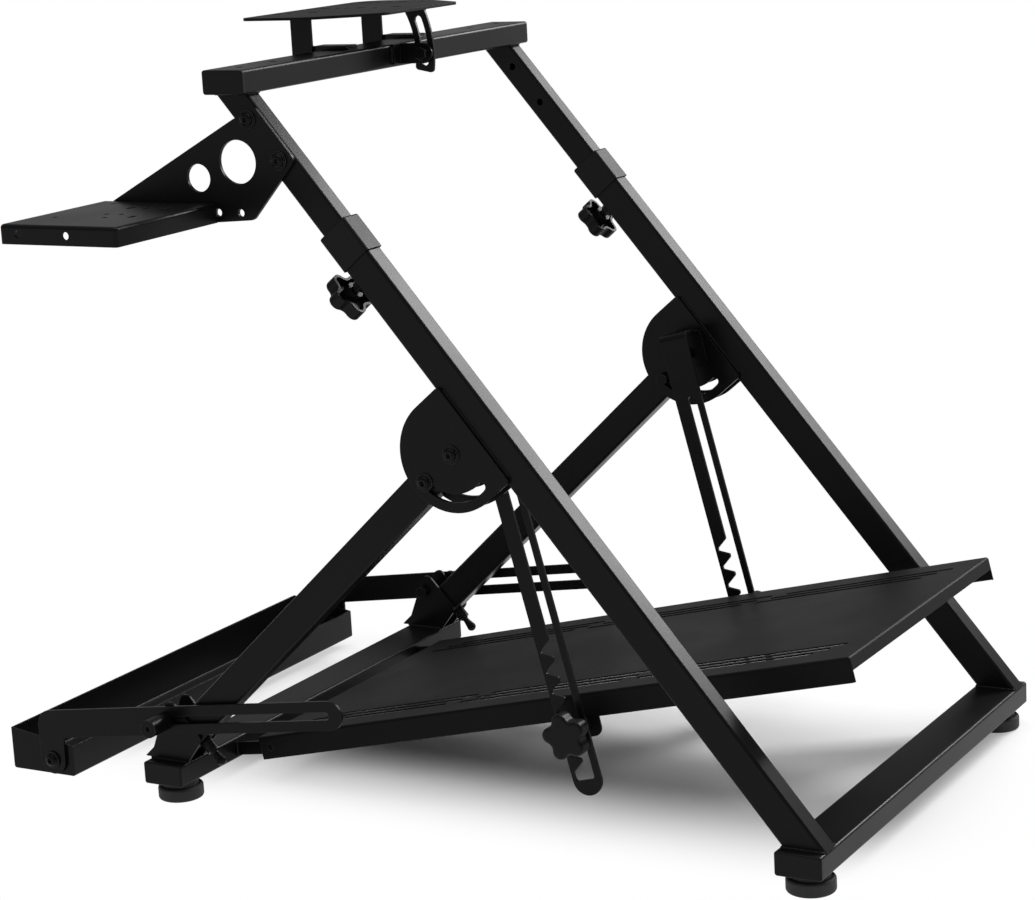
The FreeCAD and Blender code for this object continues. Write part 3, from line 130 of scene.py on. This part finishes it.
@dataclass(frozen=True)
class Finish:
    """One surface finish: its colours, gloss and grain, with a painted highlight along its rounded
    edges.
    """

    name: str
    slot: Slot
    dark: Point
    pale: Point
    # edge is the colour of a painted highlight, lighter than the body, along rounded edges.
    edge: Point
    gloss: tuple[float, float]
    grain: float
    grain_depth: float
    metallic: float = 0.0
    specular: float = 0.5
    edge_round: float = 0.8 * MM
    edge_samples: int = 4
    cloud_scale: float = 9.0
    cloud_detail: float = 4.0
    cloud_span: tuple[float, float] = (0.3, 0.7)
    fleck_detail: float = 3.0
    # How far the rounded normal turns before the painted edge highlight starts, and where it is
    # full.
    highlight_turn: tuple[float, float] = (0.99, 0.8)
    bump_strength: float = 0.6

    def material(self) -> bpy.types.Material:
        """Make the finish once.

        Returns:
            The material, made on first use and shared after that.
        """
        found = bpy.data.materials.get(self.name)
        if found:
            return found
        material = bpy.data.materials.new(self.name)
        material.use_nodes = True
        sheet = NodeSheet(material.node_tree)
        place = sheet.add("ShaderNodeTexCoord").outputs["Object"]
        cloud = sheet.add("ShaderNodeTexNoise", {
            "Vector": place, "Scale": self.cloud_scale, "Detail": self.cloud_detail})
        fleck = sheet.add("ShaderNodeTexNoise", {
            "Vector": place, "Scale": self.grain, "Detail": self.fleck_detail})
        soft = sheet.add("ShaderNodeBevel", {"Radius": self.edge_round}, samples=self.edge_samples)
        true = sheet.add("ShaderNodeNewGeometry")
        turn = sheet.add("ShaderNodeVectorMath", {0: soft.outputs[0], 1: true.outputs["Normal"]},
                         operation="DOT_PRODUCT")
        # Share of the painted edge highlight, from how far the rounded normal turns from the true
        # one.
        highlit_edge = sheet.add("ShaderNodeMapRange", {
            "Value": turn.outputs["Value"],
            "From Min": self.highlight_turn[0], "From Max": self.highlight_turn[1]})
        tone = self.mix(sheet, cloud.outputs["Fac"], self.dark, self.pale)
        # Painted highlight: the lighter edge colour is laid on rounded edges.
        colour = self.mix(sheet, highlit_edge.outputs["Result"], tone, self.edge)
        rough = sheet.add("ShaderNodeMapRange", {
            "Value": cloud.outputs["Fac"],
            "From Min": self.cloud_span[0], "From Max": self.cloud_span[1],
            "To Min": self.gloss[0], "To Max": self.gloss[1]})
        bump = sheet.add("ShaderNodeBump", {
            "Height": fleck.outputs["Fac"], "Distance": self.grain_depth,
            "Strength": self.bump_strength, "Normal": soft.outputs[0]})
        shader = sheet.add("ShaderNodeBsdfPrincipled", {
            "Base Color": colour, "Roughness": rough.outputs["Result"],
            "Normal": bump.outputs["Normal"], "Metallic": self.metallic,
            "Specular IOR Level": self.specular})
        sheet.add("ShaderNodeOutputMaterial", {"Surface": shader.outputs["BSDF"]})
        return material

    @staticmethod
    def mix(sheet: NodeSheet, share: bpy.types.NodeSocket, first: Any,
            second: Any) -> bpy.types.NodeSocket:
        """Mix two colours.

        Args:
            sheet: The tree to add to.
            share: The second colour's share.
            first: A colour or a socket.
            second: A colour or a socket.

        Returns:
            The mixed colour's socket.
        """
        node = sheet.tree.nodes.new("ShaderNodeMix")
        node.data_type = "RGBA"
        sheet.tree.links.new(share, node.inputs[0])
        for number, value in zip(MIX_COLOURS, (first, second)):
            if isinstance(value, bpy.types.NodeSocket):
                sheet.tree.links.new(value, node.inputs[number])
            else:
                node.inputs[number].default_value = (*value, 1.0)
        return node.outputs[MIX_RESULT]


# Each finish's edge colour is a painted highlight, laid on its rounded edges.
POWDER_COAT = Finish(
    "satin_powder_coat", Slot.STEEL,
    dark=(0.0035, 0.0035, 0.0037), pale=(0.0065, 0.0065, 0.0068), edge=(0.03, 0.03, 0.031),
    gloss=(0.28, 0.35), grain=700.0, grain_depth=0.03 * MM, specular=0.1)
DECK_COAT = Finish(
    "fine_textured_coat", Slot.STEEL,
    dark=(0.004, 0.004, 0.0042), pale=(0.007, 0.007, 0.0073), edge=(0.03, 0.03, 0.031),
    gloss=(0.46, 0.54), grain=1100.0, grain_depth=0.05 * MM, specular=0.08)
MOULDED_PLASTIC = Finish(
    "moulded_black_plastic", Slot.PLASTIC,
    dark=(0.005, 0.005, 0.0053), pale=(0.009, 0.009, 0.0094), edge=(0.016, 0.016, 0.0165),
    gloss=(0.36, 0.44), grain=1600.0, grain_depth=0.03 * MM, specular=0.11, edge_round=0.3 * MM)
FOOT_RUBBER = Finish(
    "foot_rubber", Slot.RUBBER,
    dark=(0.003, 0.003, 0.003), pale=(0.006, 0.006, 0.006), edge=(0.015, 0.015, 0.015),
    gloss=(0.6, 0.75), grain=500.0, grain_depth=0.3 * MM, specular=0.08)
BLACK_OXIDE = Finish(
    "black_oxide_steel", Slot.HARDWARE,
    dark=(0.004, 0.004, 0.0043), pale=(0.008, 0.008, 0.0085), edge=(0.09, 0.09, 0.093),
    gloss=(0.24, 0.34), grain=900.0, grain_depth=0.04 * MM, metallic=0.3, specular=0.1)
FINISHES = {finish.slot: finish
            for finish in (POWDER_COAT, MOULDED_PLASTIC, FOOT_RUBBER, BLACK_OXIDE)}
NODE_FINISHES = {"pedal_deck": DECK_COAT, "wheel_deck": DECK_COAT}


def bake(obj: bpy.types.Object) -> None:
    """Turn a piece's modifiers into a plain mesh and remove them.

    Args:
        obj: The piece, with its place in its mesh.
    """
    graph = bpy.context.evaluated_depsgraph_get()
    mesh = bpy.data.meshes.new_from_object(obj.evaluated_get(graph), depsgraph=graph)
    old = obj.data
    obj.modifiers.clear()
    obj.data = mesh
    mesh.name = obj.name
    bpy.data.meshes.remove(old)


def new_object(name: str, mesh: bpy.types.Mesh) -> bpy.types.Object:
    """Link a new mesh object into the scene.

    Args:
        name: The object's name.
        mesh: Its mesh.

    Returns:
        The new object.
    """
    obj = bpy.data.objects.new(name, mesh)
    bpy.context.scene.collection.objects.link(obj)
    return obj


def mount(obj: bpy.types.Object, body: Body) -> None:
    """Fix a finished piece to its body.

    Args:
        obj: The piece.
        body: The body it rides on.
    """
    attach(obj, body.value)
    log.info("%s rides on %s", obj.name, body.value)


class GrowthTree:
    """A geometry tree with named inputs, run once on a piece's points or lines."""

    def __init__(self, name: str, inputs: dict[str, str]) -> None:
        """Start the tree.

        Args:
            name: The tree's name.
            inputs: The kind of each input, by name. The finish is added to them.
        """
        group = bpy.data.node_groups.new(name, "GeometryNodeTree")
        group.is_modifier = True
        face = group.interface
        face.new_socket("Guide", in_out="INPUT", socket_type="NodeSocketGeometry")
        self.ids: dict[str, str] = {}
        for label, kind in {**inputs, "Finish": "Material"}.items():
            socket = face.new_socket(label, in_out="INPUT", socket_type=f"NodeSocket{kind}")
            self.ids[label] = socket.identifier
        face.new_socket("Piece", in_out="OUTPUT", socket_type="NodeSocketGeometry")
        self.group = group
        self.sheet = NodeSheet(group)
        self.source = self.sheet.add("NodeGroupInput").outputs

    def end(self, instances: bpy.types.NodeSocket, smooth: bool) -> None:
        """Make the instances one mesh and give it the finish.

        Args:
            instances: The socket that gives them.
            smooth: Whether their faces are shaded smooth.
        """
        whole = self.sheet.add("GeometryNodeRealizeInstances", {0: instances}).outputs[0]
        if smooth:
            whole = self.sheet.add("GeometryNodeSetShadeSmooth", {"Geometry": whole}).outputs[0]
        coat = self.sheet.add("GeometryNodeSetMaterial", {
            "Geometry": whole, "Material": self.source["Finish"]})
        self.sheet.add("NodeGroupOutput", {0: coat.outputs[0]})

    def run(self, obj: bpy.types.Object, values: dict[str, Any], finish: Finish) -> None:
        """Set the inputs, run the tree on a piece and keep the result as its mesh.

        Args:
            obj: The piece.
            values: The inputs' values, by name.
            finish: The finish that the piece takes.
        """
        modifier = obj.modifiers.new("growth", "NODES")
        modifier.node_group = self.group
        for name, value in {**values, "Finish": finish.material()}.items():
            modifier[self.ids[name]] = value
        bake(obj)


@dataclass
class WeldBeads:
    """Rows of overlapping weld ripples along seams, one mesh for each body."""

    body: Body
    label: str = "weld_beads"
    radius: float = 1.7 * MM
    pitch: float = 1.5 * MM
    seed: int = 7
    spread: tuple[float, float] = (0.85, 1.12)
    ripple_detail: int = 2
    seams: list[Path3] = field(default_factory=list)

    def tree(self) -> GrowthTree:
        """Build the tree that sets ripples along the seams.

        Returns:
            The tree, ready to run.
        """
        tree = GrowthTree(f"{self.label}_ripples_{self.body.value}",
                          {"Radius": "Float", "Pitch": "Float", "Seed": "Int"})
        sheet, source = tree.sheet, tree.source
        line = sheet.add("GeometryNodeMeshToCurve", {0: source["Guide"]})
        even = sheet.add("GeometryNodeResampleCurve", {
            "Curve": line.outputs[0], "Length": source["Pitch"]}, mode="LENGTH")
        tangent = sheet.add("GeometryNodeInputTangent")
        turn = sheet.add("FunctionNodeAlignRotationToVector", {
            "Vector": tangent.outputs[0]}, axis="X")
        ripple = sheet.add("GeometryNodeMeshIcoSphere", {
            "Radius": source["Radius"], "Subdivisions": self.ripple_detail})
        vary = sheet.add("FunctionNodeRandomValue", {
            RANDOM_LEAST: self.spread[0], RANDOM_MOST: self.spread[1],
            "Seed": source["Seed"]}, data_type="FLOAT")
        beads = sheet.add("GeometryNodeInstanceOnPoints", {
            "Points": even.outputs[0], "Instance": ripple.outputs[0],
            "Rotation": turn.outputs[0], "Scale": vary.outputs[RANDOM_RESULT]})
        tree.end(beads.outputs[0], smooth=True)
        return tree

    def build(self, finish: Finish) -> None:
        """Make the beads as one mesh object that rides on the body.

        Args:
            finish: The finish they take.
        """
        mesh = bpy.data.meshes.new(f"{self.label}_{self.body.value}")
        points = [point for seam in self.seams for point in seam]
        edges: list[tuple[int, int]] = []
        start = 0
        for seam in self.seams:
            edges += [(start + step, start + step + 1) for step in range(len(seam) - 1)]
            start += len(seam)
        mesh.from_pydata(points, edges, [])
        obj = new_object(mesh.name, mesh)
        values = {"Radius": self.radius, "Pitch": self.pitch, "Seed": self.seed}
        self.tree().run(obj, values, finish)
        mount(obj, self.body)


@dataclass
class ScrewThreads:
    """Helical ridges on one body's studs, all of one size."""

    body: Body
    radius: float
    length: float
    pitch: float = 1.25 * MM
    ridge: float = 0.4 * MM
    turn_points: int = 24
    ridge_points: int = 4
    starts: Path3 = field(default_factory=list)
    axes: Path3 = field(default_factory=list)

    def tree(self) -> GrowthTree:
        """Build the tree that sets a helix on each stud.

        Returns:
            The tree, ready to run.
        """
        tree = GrowthTree(f"screw_threads_{self.body.value}",
                          dict.fromkeys(("Radius", "Length", "Pitch", "Ridge"), "Float"))
        sheet, source = tree.sheet, tree.source
        turns = sheet.add("ShaderNodeMath", {
            0: source["Length"], 1: source["Pitch"]}, operation="DIVIDE")
        helix = sheet.add("GeometryNodeCurveSpiral", {
            "Resolution": self.turn_points, "Rotations": turns.outputs[0],
            "Start Radius": source["Radius"], "End Radius": source["Radius"],
            "Height": source["Length"]})
        section = sheet.add("GeometryNodeCurvePrimitiveCircle", {
            "Resolution": self.ridge_points, "Radius": source["Ridge"]})
        ridge = sheet.add("GeometryNodeCurveToMesh", {
            "Curve": helix.outputs[0], "Profile Curve": section.outputs[0], "Fill Caps": True})
        axis = sheet.add("GeometryNodeInputNamedAttribute", {
            "Name": "axis"}, data_type="FLOAT_VECTOR")
        turn = sheet.add("FunctionNodeAlignRotationToVector", {
            "Vector": axis.outputs["Attribute"]}, axis="Z")
        threads = sheet.add("GeometryNodeInstanceOnPoints", {
            "Points": source["Guide"], "Instance": ridge.outputs[0], "Rotation": turn.outputs[0]})
        tree.end(threads.outputs[0], smooth=False)
        return tree

    def build(self, finish: Finish) -> None:
        """Make the threads as one mesh object that rides on the body.

        Args:
            finish: The finish they take.
        """
        mesh = bpy.data.meshes.new(f"screw_threads_{self.body.value}")
        mesh.from_pydata(self.starts, [], [])
        axes = mesh.attributes.new("axis", "FLOAT_VECTOR", "POINT")
        for place, axis in zip(axes.data, self.axes):
            place.vector = axis
        obj = new_object(mesh.name, mesh)
        values = {"Radius": self.radius, "Length": self.length, "Pitch": self.pitch,
                  "Ridge": self.ridge}
        self.tree().run(obj, values, finish)
        mount(obj, self.body)


@dataclass
class TurnedPieces:
    """Pieces turned to one profile on a lathe, one mesh for each body."""

    body: Body
    label: str
    profile: tuple[tuple[float, float], ...]
    segments: int = 28
    starts: Path3 = field(default_factory=list)
    axes: Path3 = field(default_factory=list)

    def build(self, finish: Finish) -> None:
        """Make the pieces as one mesh object that rides on the body.

        Args:
            finish: The finish they take.
        """
        points: Path3 = []
        faces: list[list[int]] = []
        count = self.segments
        for start, axis in zip(self.starts, self.axes):
            turn = Vector(axis).to_track_quat("Z", "Y")
            first = len(points)
            for along, radius in self.profile:
                for step in range(count):
                    angle = math.tau * step / count
                    local = Vector((radius * math.cos(angle), radius * math.sin(angle), along))
                    points.append(tuple(Vector(start) + turn @ local))
            for ring in range(len(self.profile) - 1):
                low = first + ring * count
                for step in range(count):
                    after = (step + 1) % count
                    faces.append([low + step, low + after, low + count + after, low + count + step])
            last = first + (len(self.profile) - 1) * count
            faces.append([first + step for step in reversed(range(count))])
            faces.append([last + step for step in range(count)])
        mesh = bpy.data.meshes.new(f"{self.label}_{self.body.value}")
        mesh.from_pydata(points, [], faces)
        # The turned walls are quads and shade smooth; the two ends stay flat.
        mesh.polygons.foreach_set("use_smooth", [len(face) == 4 for face in faces])
        mesh.materials.append(finish.material())
        obj = new_object(mesh.name, mesh)
        mount(obj, self.body)


def both_sides(path: Path3) -> list[Path3]:
    """A seam on the left and its mirror image on the right."""
    return [path, [(x, -y, z) for x, y, z in path]]


@dataclass
class SubAssembly:
    """A body's CAD pieces, dressed in the finishes that the record names."""

    body: Body

    def dress(self) -> None:
        """Give each CAD node of the body its finish."""
        record = frame["record"]
        slots = {part["node"]: part["material_slot"] for part in record["subparts"]}
        for name in record["behaviour"]["bodies"][self.body.value]:
            finish = NODE_FINISHES.get(name, FINISHES[Slot(slots[name])])
            for place in frame["nodes"][name].material_slots:
                place.material = finish.material()
            log.info("%s wears %s", name, finish.name)

    def build(self) -> None:
        """Add the pieces that the CAD leaves to the scene; none on a plain body."""


@dataclass
class BaseFrame(SubAssembly):
    """Front bar, leaning uprights, pivot plates and height knobs."""

    body: Body = Body.BASE
    half_pitch: float = HALF_PITCH
    tube_width: float = TUBE_WIDTH
    tube_depth: float = 35 * MM
    angle: float = UPRIGHT_LEAN
    foot_x: float = 377 * MM
    bar_top: float = BAR_TOP
    pivot_station: float = 518 * MM
    plate_reach: float = 54 * MM
    plate_edge: float = 10.6 * MM
    front_inset: float = 3 * MM
    bead: float = 2.3 * MM
    fillet: float = 1.1 * MM
    knob_station: float = 712 * MM
    nut_height: float = 7 * MM
    stud_radius: float = 4 * MM
    stud_bare: float = 4 * MM
    stud_lap: float = 1 * MM

    def on_upright(self, along: float, across: float) -> tuple[float, float]:
        """Find a point beside an upright.

        Args:
            along: The distance up the upright from its foot.
            across: The distance from its middle line, towards the legs.

        Returns:
            The point's x and z.
        """
        x = self.foot_x - along * math.cos(self.angle) - across * math.sin(self.angle)
        z = self.bar_top + along * math.sin(self.angle) - across * math.cos(self.angle)
        return x, z

    def build(self) -> None:
        """Weld the uprights and the pivot plates, and thread the knobs' studs."""
        beads = WeldBeads(self.body, radius=self.bead)
        half = self.tube_depth / 2 / math.sin(self.angle)
        side = self.tube_width / 2
        inner = self.half_pitch - side
        outer = self.half_pitch + side
        front = self.foot_x + half - self.front_inset
        rear = self.foot_x - half
        z = self.bar_top
        beads.seams += both_sides([(front, inner, z), (rear, inner, z), (rear, outer, z),
                                   (front, outer, z)])
        beads.build(POWDER_COAT)
        fillets = WeldBeads(self.body, "plate_fillets", radius=self.fillet, pitch=self.fillet)
        low = self.on_upright(self.pivot_station - self.plate_reach, self.plate_edge)
        high = self.on_upright(self.pivot_station + self.plate_reach, self.plate_edge)
        for y in (outer, inner):
            fillets.seams += both_sides([(low[0], y, low[1]), (high[0], y, high[1])])
        fillets.build(POWDER_COAT)
        across = self.tube_depth / 2 + self.nut_height - self.stud_lap
        start = self.on_upright(self.knob_station, across)
        ahead = (-math.sin(self.angle), 0.0, -math.cos(self.angle))
        threads = ScrewThreads(self.body, self.stud_radius, self.stud_bare + 2 * self.stud_lap)
        for y in (self.half_pitch, -self.half_pitch):
            threads.starts.append((start[0], y, start[1]))
            threads.axes.append(ahead)
        threads.build(BLACK_OXIDE)


@dataclass
class LegFrame(SubAssembly):
    """Rear bar, legs, foot brackets, deck ears and pull pins."""

    body: Body = Body.LEGS
    half_pitch: float = HALF_PITCH
    bracket_face: float = 15.8 * MM
    bar_x: float = -375 * MM
    bar_width: float = 50 * MM
    bar_top: float = BAR_TOP
    leg_front: float = -358.9 * MM
    tube_width: float = TUBE_WIDTH
    bar_corner: float = 3 * MM
    bead: float = 2 * MM
    ear_weld: tuple[float, float] = (7 * MM, 20 * MM)
    pull_lean: float = math.radians(-47)
    pull_boss: float = 7 * MM
    pull_ball: float = 5.5 * MM
    pull_reach: float = 28 * MM
    pull_gap: float = 2 * MM
    pull_thread: float = 11 * MM
    pull_pitch: float = 1.75 * MM
    pull_profile: tuple[tuple[float, float], ...] = (
        (13.6 * MM, 3.1 * MM), (13.8 * MM, 4.4 * MM), (14.6 * MM, 4.8 * MM), (15.4 * MM, 4.5 * MM),
        (15.9 * MM, 3.5 * MM), (17.5 * MM, 3.5 * MM), (21.0 * MM, 4.0 * MM), (23.8 * MM, 4.7 * MM),
        (24.8 * MM, 4.7 * MM), (25.2 * MM, 4.2 * MM))

    def on_pull_pins(self, ahead: Point, along: float) -> Path3:
        """Points on the two pull pins' axes, at a distance from the legs' faces.

        Args:
            ahead: The pins' direction, away from the legs.
            along: The distance from a leg's face.

        Returns:
            The left pin's point and the right pin's.
        """
        low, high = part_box("pull_pins")
        back = self.pull_reach - along
        x = high[0] - self.pull_ball - back * ahead[0]
        z = low[2] + self.pull_ball - back * ahead[2]
        return [(x, self.half_pitch, z), (x, -self.half_pitch, z)]

    def build(self) -> None:
        """Weld the legs, their brackets and the deck ears to the bar, and finish the pull pins."""
        beads = WeldBeads(self.body, radius=self.bead)
        near = self.bar_x + self.bar_width / 2 - self.bar_corner
        far = self.bar_x - self.bar_width / 2 + self.bar_corner
        for y in (self.half_pitch + self.bracket_face, self.half_pitch - self.bracket_face):
            beads.seams += both_sides([(near, y, self.bar_top), (far, y, self.bar_top)])
        side = self.tube_width / 2
        beads.seams += both_sides([(self.leg_front, self.half_pitch - side, self.bar_top),
                                   (self.leg_front, self.half_pitch + side, self.bar_top)])
        ears_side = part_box("deck_ears")[1][1]
        face = self.bar_x + self.bar_width / 2
        ear_seam = [(face, ears_side, self.bar_top - drop) for drop in self.ear_weld]
        beads.seams += both_sides(ear_seam)
        beads.build(POWDER_COAT)
        ahead = (math.cos(self.pull_lean), 0.0, math.sin(self.pull_lean))
        threads = ScrewThreads(self.body, self.pull_boss, self.pull_thread, self.pull_pitch)
        threads.starts = self.on_pull_pins(ahead, self.pull_gap)
        threads.axes = [ahead, ahead]
        threads.build(BLACK_OXIDE)
        sleeves = TurnedPieces(self.body, "pull_sleeves", self.pull_profile)
        sleeves.starts = self.on_pull_pins(ahead, 0.0)
        sleeves.axes = [ahead, ahead]
        sleeves.build(BLACK_OXIDE)


@dataclass
class HeadFrame(SubAssembly):
    """Top bar on the inner tubes, with the shifter's arm and the wheel deck's posts."""

    body: Body = Body.HEAD
    half_pitch: float = HALF_PITCH
    tube_width: float = 21 * MM
    tube_depth: float = 30 * MM
    angle: float = UPRIGHT_LEAN
    bar_corner: float = 3 * MM
    post_foot: float = 22 * MM
    post_wall: float = 4 * MM

    def build(self) -> None:
        """Weld the inner tubes under the bar, and the posts and tilt bracket to its other faces."""
        beads = WeldBeads(self.body)
        low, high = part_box("top_bar")
        middle = (low[0] + high[0]) / 2
        half = self.tube_depth / 2 / math.sin(self.angle)
        side = self.tube_width / 2
        inner = self.half_pitch - side
        outer = self.half_pitch + side
        front = middle + half
        rear = middle - half
        ring = [(front, inner), (rear, inner), (rear, outer), (front, outer), (front, inner)]
        beads.seams += both_sides([(x, y, low[2]) for x, y in ring])
        posts_low, posts_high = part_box("deck_posts")
        for y in (posts_low[1] + self.post_foot, posts_high[1]):
            beads.seams.append([(low[0] + self.bar_corner, y, high[2]), (posts_high[0], y, high[2]),
                                (posts_high[0], y - self.post_foot + self.bar_corner, high[2])])
            web = y - self.post_foot + self.post_wall
            beads.seams.append([(low[0], web, posts_low[2] + self.bar_corner),
                                (low[0], web, high[2] - self.bar_corner)])
        sole_low, sole_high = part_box("tilt_bracket")
        beads.seams.append([(high[0], sole_low[1], sole_low[2] + self.bar_corner),
                            (high[0], sole_low[1], sole_high[2] - self.bar_corner)])
        beads.build(POWDER_COAT)


@dataclass
class WheelDeck(SubAssembly):
    """Tapered plate for the wheel."""

    body: Body = Body.WHEEL_DECK
    bead: float = 1.4 * MM
    lug_wall: float = 3 * MM
    seam_inset: float = 2 * MM
    tilt_plate_end: float = 10 * MM

    def build(self) -> None:
        """Weld the lugs and the tilt plate under the deck, the plate away from its bracket."""
        beads = WeldBeads(self.body, radius=self.bead)
        low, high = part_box("deck_lugs")
        for y in (low[1], high[1] - self.lug_wall):
            beads.seams.append([(low[0] + self.seam_inset, y, high[2]),
                                (high[0] - self.seam_inset, y, high[2])])
        low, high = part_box("tilt_plate")
        beads.seams.append([(low[0] + self.seam_inset, high[1], high[2]),
                            (high[0] - self.tilt_plate_end, high[1], high[2])])
        beads.build(POWDER_COAT)


@dataclass
class PedalDeck(SubAssembly):
    """Slotted sheet for the pedals."""

    body: Body = Body.PEDAL_DECK


@dataclass
class Hangers(SubAssembly):
    """Toothed straps that hold the pedal deck."""

    body: Body = Body.HANGERS


@dataclass
class ArmPivots(SubAssembly):
    """Clamp bolts of the stop arms."""

    body: Body = Body.ARM_PIVOTS


@dataclass
class StopArms(SubAssembly):
    """Slotted arms of the chair stop."""

    body: Body = Body.STOP_ARMS


@dataclass
class ChairStop(SubAssembly):
    """Flanged channel that holds a chair's castors."""

    body: Body = Body.CHAIR_STOP


@dataclass(frozen=True)
class Softbox:
    """One soft studio lamp."""

    name: str
    place: Point
    aim: Point
    size: tuple[float, float]
    power: float
    turn: float = 0.0

    def build(self) -> None:
        """Add the lamp to the scene."""
        lamp = bpy.data.lights.new(self.name, "AREA")
        lamp.shape = "RECTANGLE"
        lamp.size, lamp.size_y = self.size
        lamp.energy = self.power
        obj = bpy.data.objects.new(self.name, lamp)
        obj.location = self.place
        facing = (Vector(self.aim) - Vector(self.place)).to_track_quat("-Z", "Y")
        obj.rotation_euler = (facing @ Quaternion((0.0, 0.0, 1.0), self.turn)).to_euler()
        bpy.context.scene.collection.objects.link(obj)


@dataclass
class Studio:
    """Pale floor, soft lamps, surroundings white at the horizon, and the photo's camera."""

    floor_half: float = 40.0
    floor_tone: float = 0.93
    shade_centre: Point = (-0.05, 0.1, 0.0)
    shade_zone: Point = (0.34, 0.13, 0.0)
    fade: tuple[float, float] = (0.0, 0.25)
    sky: float = 0.32
    horizon: tuple[float, float] = (0.0, 0.03)
    eye: Point = (1.4015, -2.5568, 1.0116)
    yaw: float = 0.5251
    pitch: float = 0.22005
    roll: float = 0.0542
    focal_px: float = 2740.4
    frame_px: int = 1035
    sensor: float = 36.0
    far_clip: float = 60.0
    lamps: tuple[Softbox, ...] = (
        Softbox("top_softbox", (0.1, 0.0, 3.0), (0.0, 0.0, 0.3), (3.2, 3.2), 50.0),
        Softbox("far_softbox", (0.91, 2.3, 1.75), (0.1, -0.1, 0.34), (1.35, 0.95), 68.0,
                math.radians(50)),
    )

    def seen(self, sheet: NodeSheet) -> bpy.types.NodeSocket:
        """Tell the rays that show the background: camera, glossy and transmission rays.

        Args:
            sheet: The tree to add to.

        Returns:
            A socket that is 1 for those rays and 0 for the others.
        """
        path = sheet.add("ShaderNodeLightPath").outputs
        share = path["Is Camera Ray"]
        for kind in ("Is Glossy Ray", "Is Transmission Ray"):
            node = sheet.add("ShaderNodeMath", {0: share, 1: path[kind]}, operation="MAXIMUM")
            share = node.outputs[0]
        return share

    def surroundings(self) -> None:
        """White at the horizon, and a plain level of light above it."""
        world = bpy.data.worlds.new("studio_white")
        bpy.context.scene.world = world
        world.use_nodes = True
        sheet = NodeSheet(world.node_tree)
        ray = sheet.add("ShaderNodeTexCoord").outputs["Generated"]
        up = sheet.add("ShaderNodeSeparateXYZ", {0: ray})
        level = sheet.add("ShaderNodeMapRange", {
            "Value": up.outputs["Z"], "From Min": self.horizon[0], "From Max": self.horizon[1],
            "To Min": 1.0, "To Max": self.sky}, interpolation_type="SMOOTHSTEP")
        light = sheet.add("ShaderNodeBackground", {"Color": WHITE, "Strength": level.outputs[0]})
        sheet.add("ShaderNodeOutputWorld", {"Surface": light.outputs[0]})

    def floor(self) -> None:
        """Pale floor that keeps the shadow and fades to white away from the object."""
        half = self.floor_half
        mesh = bpy.data.meshes.new("studio_floor")
        points = [(-half, -half, 0), (half, -half, 0), (half, half, 0), (-half, half, 0)]
        mesh.from_pydata(points, [], [(0, 1, 2, 3)])
        obj = new_object("studio_floor", mesh)
        material = bpy.data.materials.new("pale_floor")
        material.use_nodes = True
        sheet = NodeSheet(material.node_tree)
        place = sheet.add("ShaderNodeTexCoord").outputs["Object"]
        offset = sheet.add("ShaderNodeVectorMath", {0: place, 1: self.shade_centre},
                           operation="SUBTRACT")
        reach = sheet.add("ShaderNodeVectorMath", {0: offset.outputs[0]}, operation="ABSOLUTE")
        beyond = sheet.add("ShaderNodeVectorMath", {0: reach.outputs[0], 1: self.shade_zone},
                           operation="SUBTRACT")
        outside = sheet.add("ShaderNodeVectorMath", {0: beyond.outputs[0], 1: (0.0, 0.0, 0.0)},
                            operation="MAXIMUM")
        far = sheet.add("ShaderNodeVectorMath", {0: outside.outputs[0]}, operation="LENGTH")
        fade = sheet.add("ShaderNodeMapRange", {
            "Value": far.outputs["Value"], "From Min": self.fade[0], "From Max": self.fade[1]},
            interpolation_type="SMOOTHSTEP")
        share = sheet.add("ShaderNodeMath", {0: fade.outputs[0], 1: self.seen(sheet)},
                          operation="MULTIPLY")
        tone = self.floor_tone
        matt = sheet.add("ShaderNodeBsdfDiffuse", {"Color": (tone, tone, tone, 1.0)})
        white = sheet.add("ShaderNodeEmission", {"Color": WHITE, "Strength": 1.0})
        both = sheet.add("ShaderNodeMixShader", {
            0: share.outputs[0], 1: matt.outputs[0], 2: white.outputs[0]})
        sheet.add("ShaderNodeOutputMaterial", {"Surface": both.outputs[0]})
        mesh.materials.append(material)

    def camera(self) -> None:
        """Camera at the photo's place, turned and rolled as it was."""
        sin, cos = math.sin, math.cos
        level = cos(self.pitch)
        ahead = Vector((-sin(self.yaw) * level, cos(self.yaw) * level, -sin(self.pitch)))
        right = Vector((cos(self.yaw), sin(self.yaw), 0.0))
        down = ahead.cross(right)
        across = cos(self.roll) * right + sin(self.roll) * down
        fall = -sin(self.roll) * right + cos(self.roll) * down
        lens = bpy.data.cameras.new("photo_camera")
        lens.sensor_fit = "HORIZONTAL"
        lens.sensor_width = self.sensor
        lens.lens = self.focal_px * self.sensor / self.frame_px
        lens.clip_end = self.far_clip
        obj = bpy.data.objects.new("photo_camera", lens)
        turn = Matrix((across, -fall, -ahead)).transposed()
        obj.matrix_world = Matrix.Translation(self.eye) @ turn.to_4x4()
        bpy.context.scene.collection.objects.link(obj)
        bpy.context.scene.camera = obj

    def build(self) -> None:
        """Set up the whole studio."""
        bpy.context.scene.view_settings.view_transform = "Standard"
        self.surroundings()
        self.floor()
        for lamp in self.lamps:
            lamp.build()
        self.camera()


def main() -> None:
    """Build the studio, then dress and finish each sub-assembly."""
    logging.basicConfig(level=logging.INFO)
    Studio().build()
    for part in (BaseFrame(), LegFrame(), HeadFrame(), WheelDeck(), PedalDeck(), Hangers(),
                 ArmPivots(), StopArms(), ChairStop()):
        part.dress()
        part.build()


if __name__ == "__main__":
    main()
